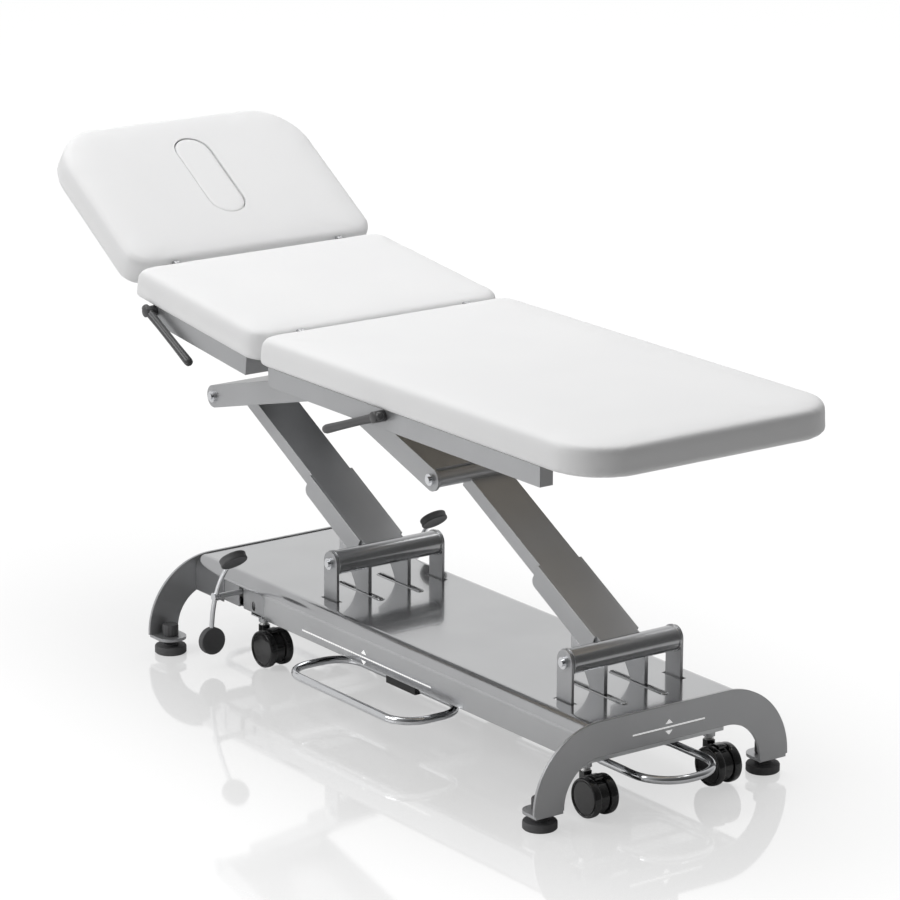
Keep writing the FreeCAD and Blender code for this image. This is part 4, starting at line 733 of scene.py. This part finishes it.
# Castors
# Twin wheels of glossy black plastic with a moulded ring on each face, under a black hood.
# A plated collar sits on the stem between the hood and the castor beam.
wheel_rings = ((0.0, 0.0266), (0.0160, 0.0268), (0.0318, 0.0262), (0.0326, 0.0250),
               (0.0338, 0.0250), (0.0345, 0.0270), (0.0358, 0.0284), (0.0374, 0.0282),
               (0.0387, 0.0268), (0.0394, 0.0244), (0.0395, 0.0215), (0.0395, 0.0165),
               (0.0390, 0.0135), (0.0375, 0.0114), (0.0310, 0.0110), (0.0100, 0.0110),
               (0.0050, 0.0110), (0.0050, 0.0))
collar_rings = ((0.0055, 0.0842), (0.0094, 0.0842), (0.0098, 0.0848), (0.0098, 0.0868),
                (0.0092, 0.0876), (0.0076, 0.0880), (0.0076, 0.0912), (0.0070, 0.0918),
                (0.0055, 0.0918))
nickel = bright_metal("nickel_plate", (0.92, 0.92, 0.91), roughness=0.34, streak=0.12)
wheel_turn = Matrix.Rotation(math.pi / 2, 4, "X")
for tail in flanks:
    hub = joint_at["castor_roll_" + tail]
    wheel = turned_shape(wheel_rings, steps=72)
    halves = wheel.faces[:] + wheel.edges[:] + wheel.verts[:]
    bmesh.ops.mirror(wheel, geom=halves, axis="Z", merge_dist=1e-5,
                     matrix=Matrix.Identity(4))
    bmesh.ops.recalc_face_normals(wheel, faces=wheel.faces)
    place_piece("castor_twin_wheels_" + tail, wheel, Matrix.Translation(hub) @ wheel_turn,
                "castor_wheels_" + tail, gloss_black,
                ("castor_wheels_" + tail,))
    swivel = joint_at["castor_swivel_" + tail]
    place_piece("castor_collar_" + tail, turned_shape(collar_rings, steps=40),
                Matrix.Translation((swivel.x, swivel.y, 0)), "castor_hood_" + tail,
                nickel)


# Castor pedal
# Four rubber discs with a groove round the rim, on the ends of two curved chrome rods. The
# face on the hollow side of the rod is dished for the shoe.
pedal_pad_rings = ((0.0, 0.0056), (0.0120, 0.0058), (0.0215, 0.0068), (0.0255, 0.0080),
                   (0.0278, 0.0079), (0.0288, 0.0066), (0.0290, 0.0045),
                   (0.0284, 0.0020), (0.0284, -0.0020), (0.0290, -0.0045),
                   (0.0286, -0.0068), (0.0274, -0.0079), (0.0120, -0.0080), (0.0, -0.0080))
pedal_shaft = joint_at["pedal_hinge"]
pedal_arc = 0.2435
pedal_lean = math.radians(21.0)
pedal_reaches = (math.radians(28.5), math.radians(-24.0))
pedal_rod_y = 0.255
arc_centre = Vector((pedal_shaft.x + pedal_arc * math.cos(pedal_lean), 0,
                     pedal_shaft.z - pedal_arc * math.sin(pedal_lean)))
pedal_discs = bmesh.new()
for hand in (-1, 1):
    for reach in pedal_reaches:
        angle = math.pi - pedal_lean - reach
        inward = Vector((-math.cos(angle), 0, -math.sin(angle)))
        disc = turned_shape(pedal_pad_rings, steps=64)
        spot = arc_centre - inward * pedal_arc
        place = (Matrix.Translation((spot.x, hand * pedal_rod_y, spot.z))
                 @ inward.to_track_quat("Z", "Y").to_matrix().to_4x4())
        bmesh.ops.transform(disc, matrix=place, verts=disc.verts)
        add_part(pedal_discs, disc)
place_piece("pedal_rubber_discs", pedal_discs, Matrix.Identity(4), "pedal",
            soft_rubber, ("pedal_pads",))


# Release levers
# Tapered grips with a round hub, both in black moulded plastic, under the near edge of the
# leg and back sections.
grip_black = black_finish("grip_black", shade=0.045, roughness=0.34, grain_scale=1100.0,
                          grain=0.18, coat=0.2)
grip_droop = math.radians(20.0)
grip_y = -0.316
grip_overhang = 0.018
leg_grip_length, back_grip_length = 0.205, 0.195
hub_rings = ((0.0, -0.0101), (0.0095, -0.0099), (0.0113, -0.0086), (0.0115, 0.0152),
             (0.0105, 0.0162), (0.0050, 0.0162), (0.0050, 0.0620), (0.0, 0.0620))
hub_turn = Matrix.Rotation(-math.pi / 2, 4, "X")


def grip_shape(length):
    """Grip along +Z from its hub end, with round ends and a slight waist."""
    rings = ((0.0, 0.0), (0.0050, 0.0007), (0.0078, 0.0032), (0.0088, 0.0075),
             (0.0090, 0.034), (0.0083, length * 0.35), (0.0085, length * 0.70),
             (0.0092, length - 0.022), (0.0093, length - 0.0095), (0.0082, length - 0.0037),
             (0.0052, length - 0.0008), (0.0, length))
    return turned_shape(rings, steps=36)


def lever(name, node, joint, toward, droop, length):
    """Grip and hub of one lever, toward -1 or 1 along X, as one piece."""
    centre = Vector((joint_at[joint].x, grip_y, joint_at[joint].z))
    along = Vector((toward * math.cos(droop), 0, -math.sin(droop)))
    start = centre - along * grip_overhang
    grip = grip_shape(length)
    turn = along.to_track_quat("Z", "Y").to_matrix().to_4x4()
    bmesh.ops.transform(grip, matrix=Matrix.Translation(start) @ turn, verts=grip.verts)
    hub = turned_shape(hub_rings, steps=40)
    bmesh.ops.transform(hub, matrix=Matrix.Translation(centre) @ hub_turn, verts=hub.verts)
    add_part(grip, hub)
    place_piece(name, grip, Matrix.Identity(4), node, grip_black, (node,))


lever("leg_release_grip", "leg_lever", "leg_lever_hinge", -1, grip_droop, leg_grip_length)
lever("back_release_grip", "mid_lever", "mid_lever_hinge", 1, grip_droop + mid_tilt,
      back_grip_length)


# Markings
# A printed white line with an up and a down arrow on each side of the cover and on each
# end plate shows where a shoe works the foot bar.
print_thickness = 0.00015
line_width = 0.0030
arrow_half = 0.0088
arrow_height = 0.0088
arrow_offset = 0.0068
print_crease = 20
hands = ((-1, "near"), (1, "far"))


def printed_white():
    """White print with a painted glow of its own, so that it stays clear on the grey coat."""
    # Painted glow: the print gives off light of its own, though it is no lamp.
    ink = Finish("glowing_white_print", Roughness=0.4, Emission_Color=(1, 1, 1, 1),
                 Emission_Strength=0.40)
    speck = ink.add("ShaderNodeTexNoise", Scale=900.0)
    ink.fasten(speck)
    ink.blend(speck.outputs["Fac"], (0.86, 0.86, 0.86), (0.93, 0.93, 0.93))
    return ink.material


def marking(half_length, arrow_shift):
    """Line along X with an arrow above and below it, drawn in the XZ plane."""
    bm = bmesh.new()
    bmesh.ops.create_cube(bm, size=1.0)
    bmesh.ops.scale(bm, verts=bm.verts, vec=(2 * half_length, print_thickness, line_width))
    for way in (-1, 1):
        corners = [bm.verts.new((arrow_shift + side * arrow_half, -print_thickness / 2,
                                 way * arrow_offset)) for side in (-1, 1)]
        corners.append(bm.verts.new((arrow_shift, -print_thickness / 2,
                                     way * (arrow_offset + arrow_height))))
        face = bm.faces.new(corners)
        grown = bmesh.ops.extrude_face_region(bm, geom=[face])
        tips = [item for item in grown["geom"] if isinstance(item, bmesh.types.BMVert)]
        bmesh.ops.translate(bm, verts=tips, vec=(0, print_thickness, 0))
    bmesh.ops.recalc_face_normals(bm, faces=bm.faces)
    return bm


glowing_white_print = printed_white()
side_mark_x, side_mark_z, side_mark_half = chassis_x - 0.041, 0.134, 0.225
side_arrow_shift = -0.005
for hand, flank in hands:
    face_y = hand * (abs(cover_low.y) + print_thickness / 2)
    turn = Matrix.Rotation(0 if hand < 0 else math.pi, 4, "Z")
    place_piece("marking_" + flank, marking(side_mark_half, side_arrow_shift),
                Matrix.Translation((side_mark_x, face_y, side_mark_z)) @ turn, "chassis",
                glowing_white_print, crease=print_crease)
end_mark_y, end_mark_z, end_mark_half = 0.0105, 0.1515, 0.088
for side, end in ((-1, "head"), (1, "foot")):
    low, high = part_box("end_plate_" + end)
    face_x = (low.x if side < 0 else high.x) + side * print_thickness / 2
    turn = Matrix.Rotation(side * math.pi / 2, 4, "Z")
    place_piece("marking_" + end, marking(end_mark_half, 0.0),
                Matrix.Translation((face_x, side * end_mark_y, end_mark_z)) @ turn, "chassis",
                glowing_white_print, crease=print_crease)


# Slot lips
# A narrow rounded lip in the cover's own lacquer runs round each lever slot.
slot_y = 0.0495
slot_half_width = 0.007
slot_reach_head = 0.092
slot_reaches = (("lift", 0.062), ("foot_arm_hinge", 0.080))
slot_end_steps = 12
lip_radius = 0.0015
lip_z = cover_high.z + 0.0002


def ring_tube(spots, radius, steps):
    """Round bead along a closed run of points in a level plane."""
    curve = bpy.data.curves.new("bead", "CURVE")
    curve.dimensions = "3D"
    curve.bevel_depth = radius
    curve.bevel_resolution = steps
    line = curve.splines.new("POLY")
    line.points.add(len(spots) - 1)
    for point, spot in zip(line.points, spots):
        point.co = (*spot, 1)
    line.use_cyclic_u = True
    holder = bpy.data.objects.new("bead", curve)
    scene.collection.objects.link(holder)
    graph = bpy.context.evaluated_depsgraph_get()
    mesh = bpy.data.meshes.new_from_object(holder.evaluated_get(graph))
    bm = bmesh.new()
    bm.from_mesh(mesh)
    bpy.data.objects.remove(holder)
    bpy.data.curves.remove(curve)
    bpy.data.meshes.remove(mesh)
    bmesh.ops.recalc_face_normals(bm, faces=bm.faces)
    return bm


for pivot, reach in slot_reaches:
    for hand, flank in hands:
        head_x = joint_at[pivot].x - slot_reach_head + slot_half_width
        foot_x = joint_at[pivot].x + reach - slot_half_width
        spots = []
        for end_x, start in ((foot_x, math.pi / 2), (head_x, -math.pi / 2)):
            for step in range(slot_end_steps + 1):
                angle = start - math.pi * step / slot_end_steps
                spots.append((end_x + slot_half_width * math.cos(angle),
                              hand * slot_y + slot_half_width * math.sin(angle), lip_z))
        place_piece("slot_lip_%s_%s" % (pivot, flank), ring_tube(spots, lip_radius, steps=3),
                    Matrix.Identity(4), "chassis", cover_lacquer)
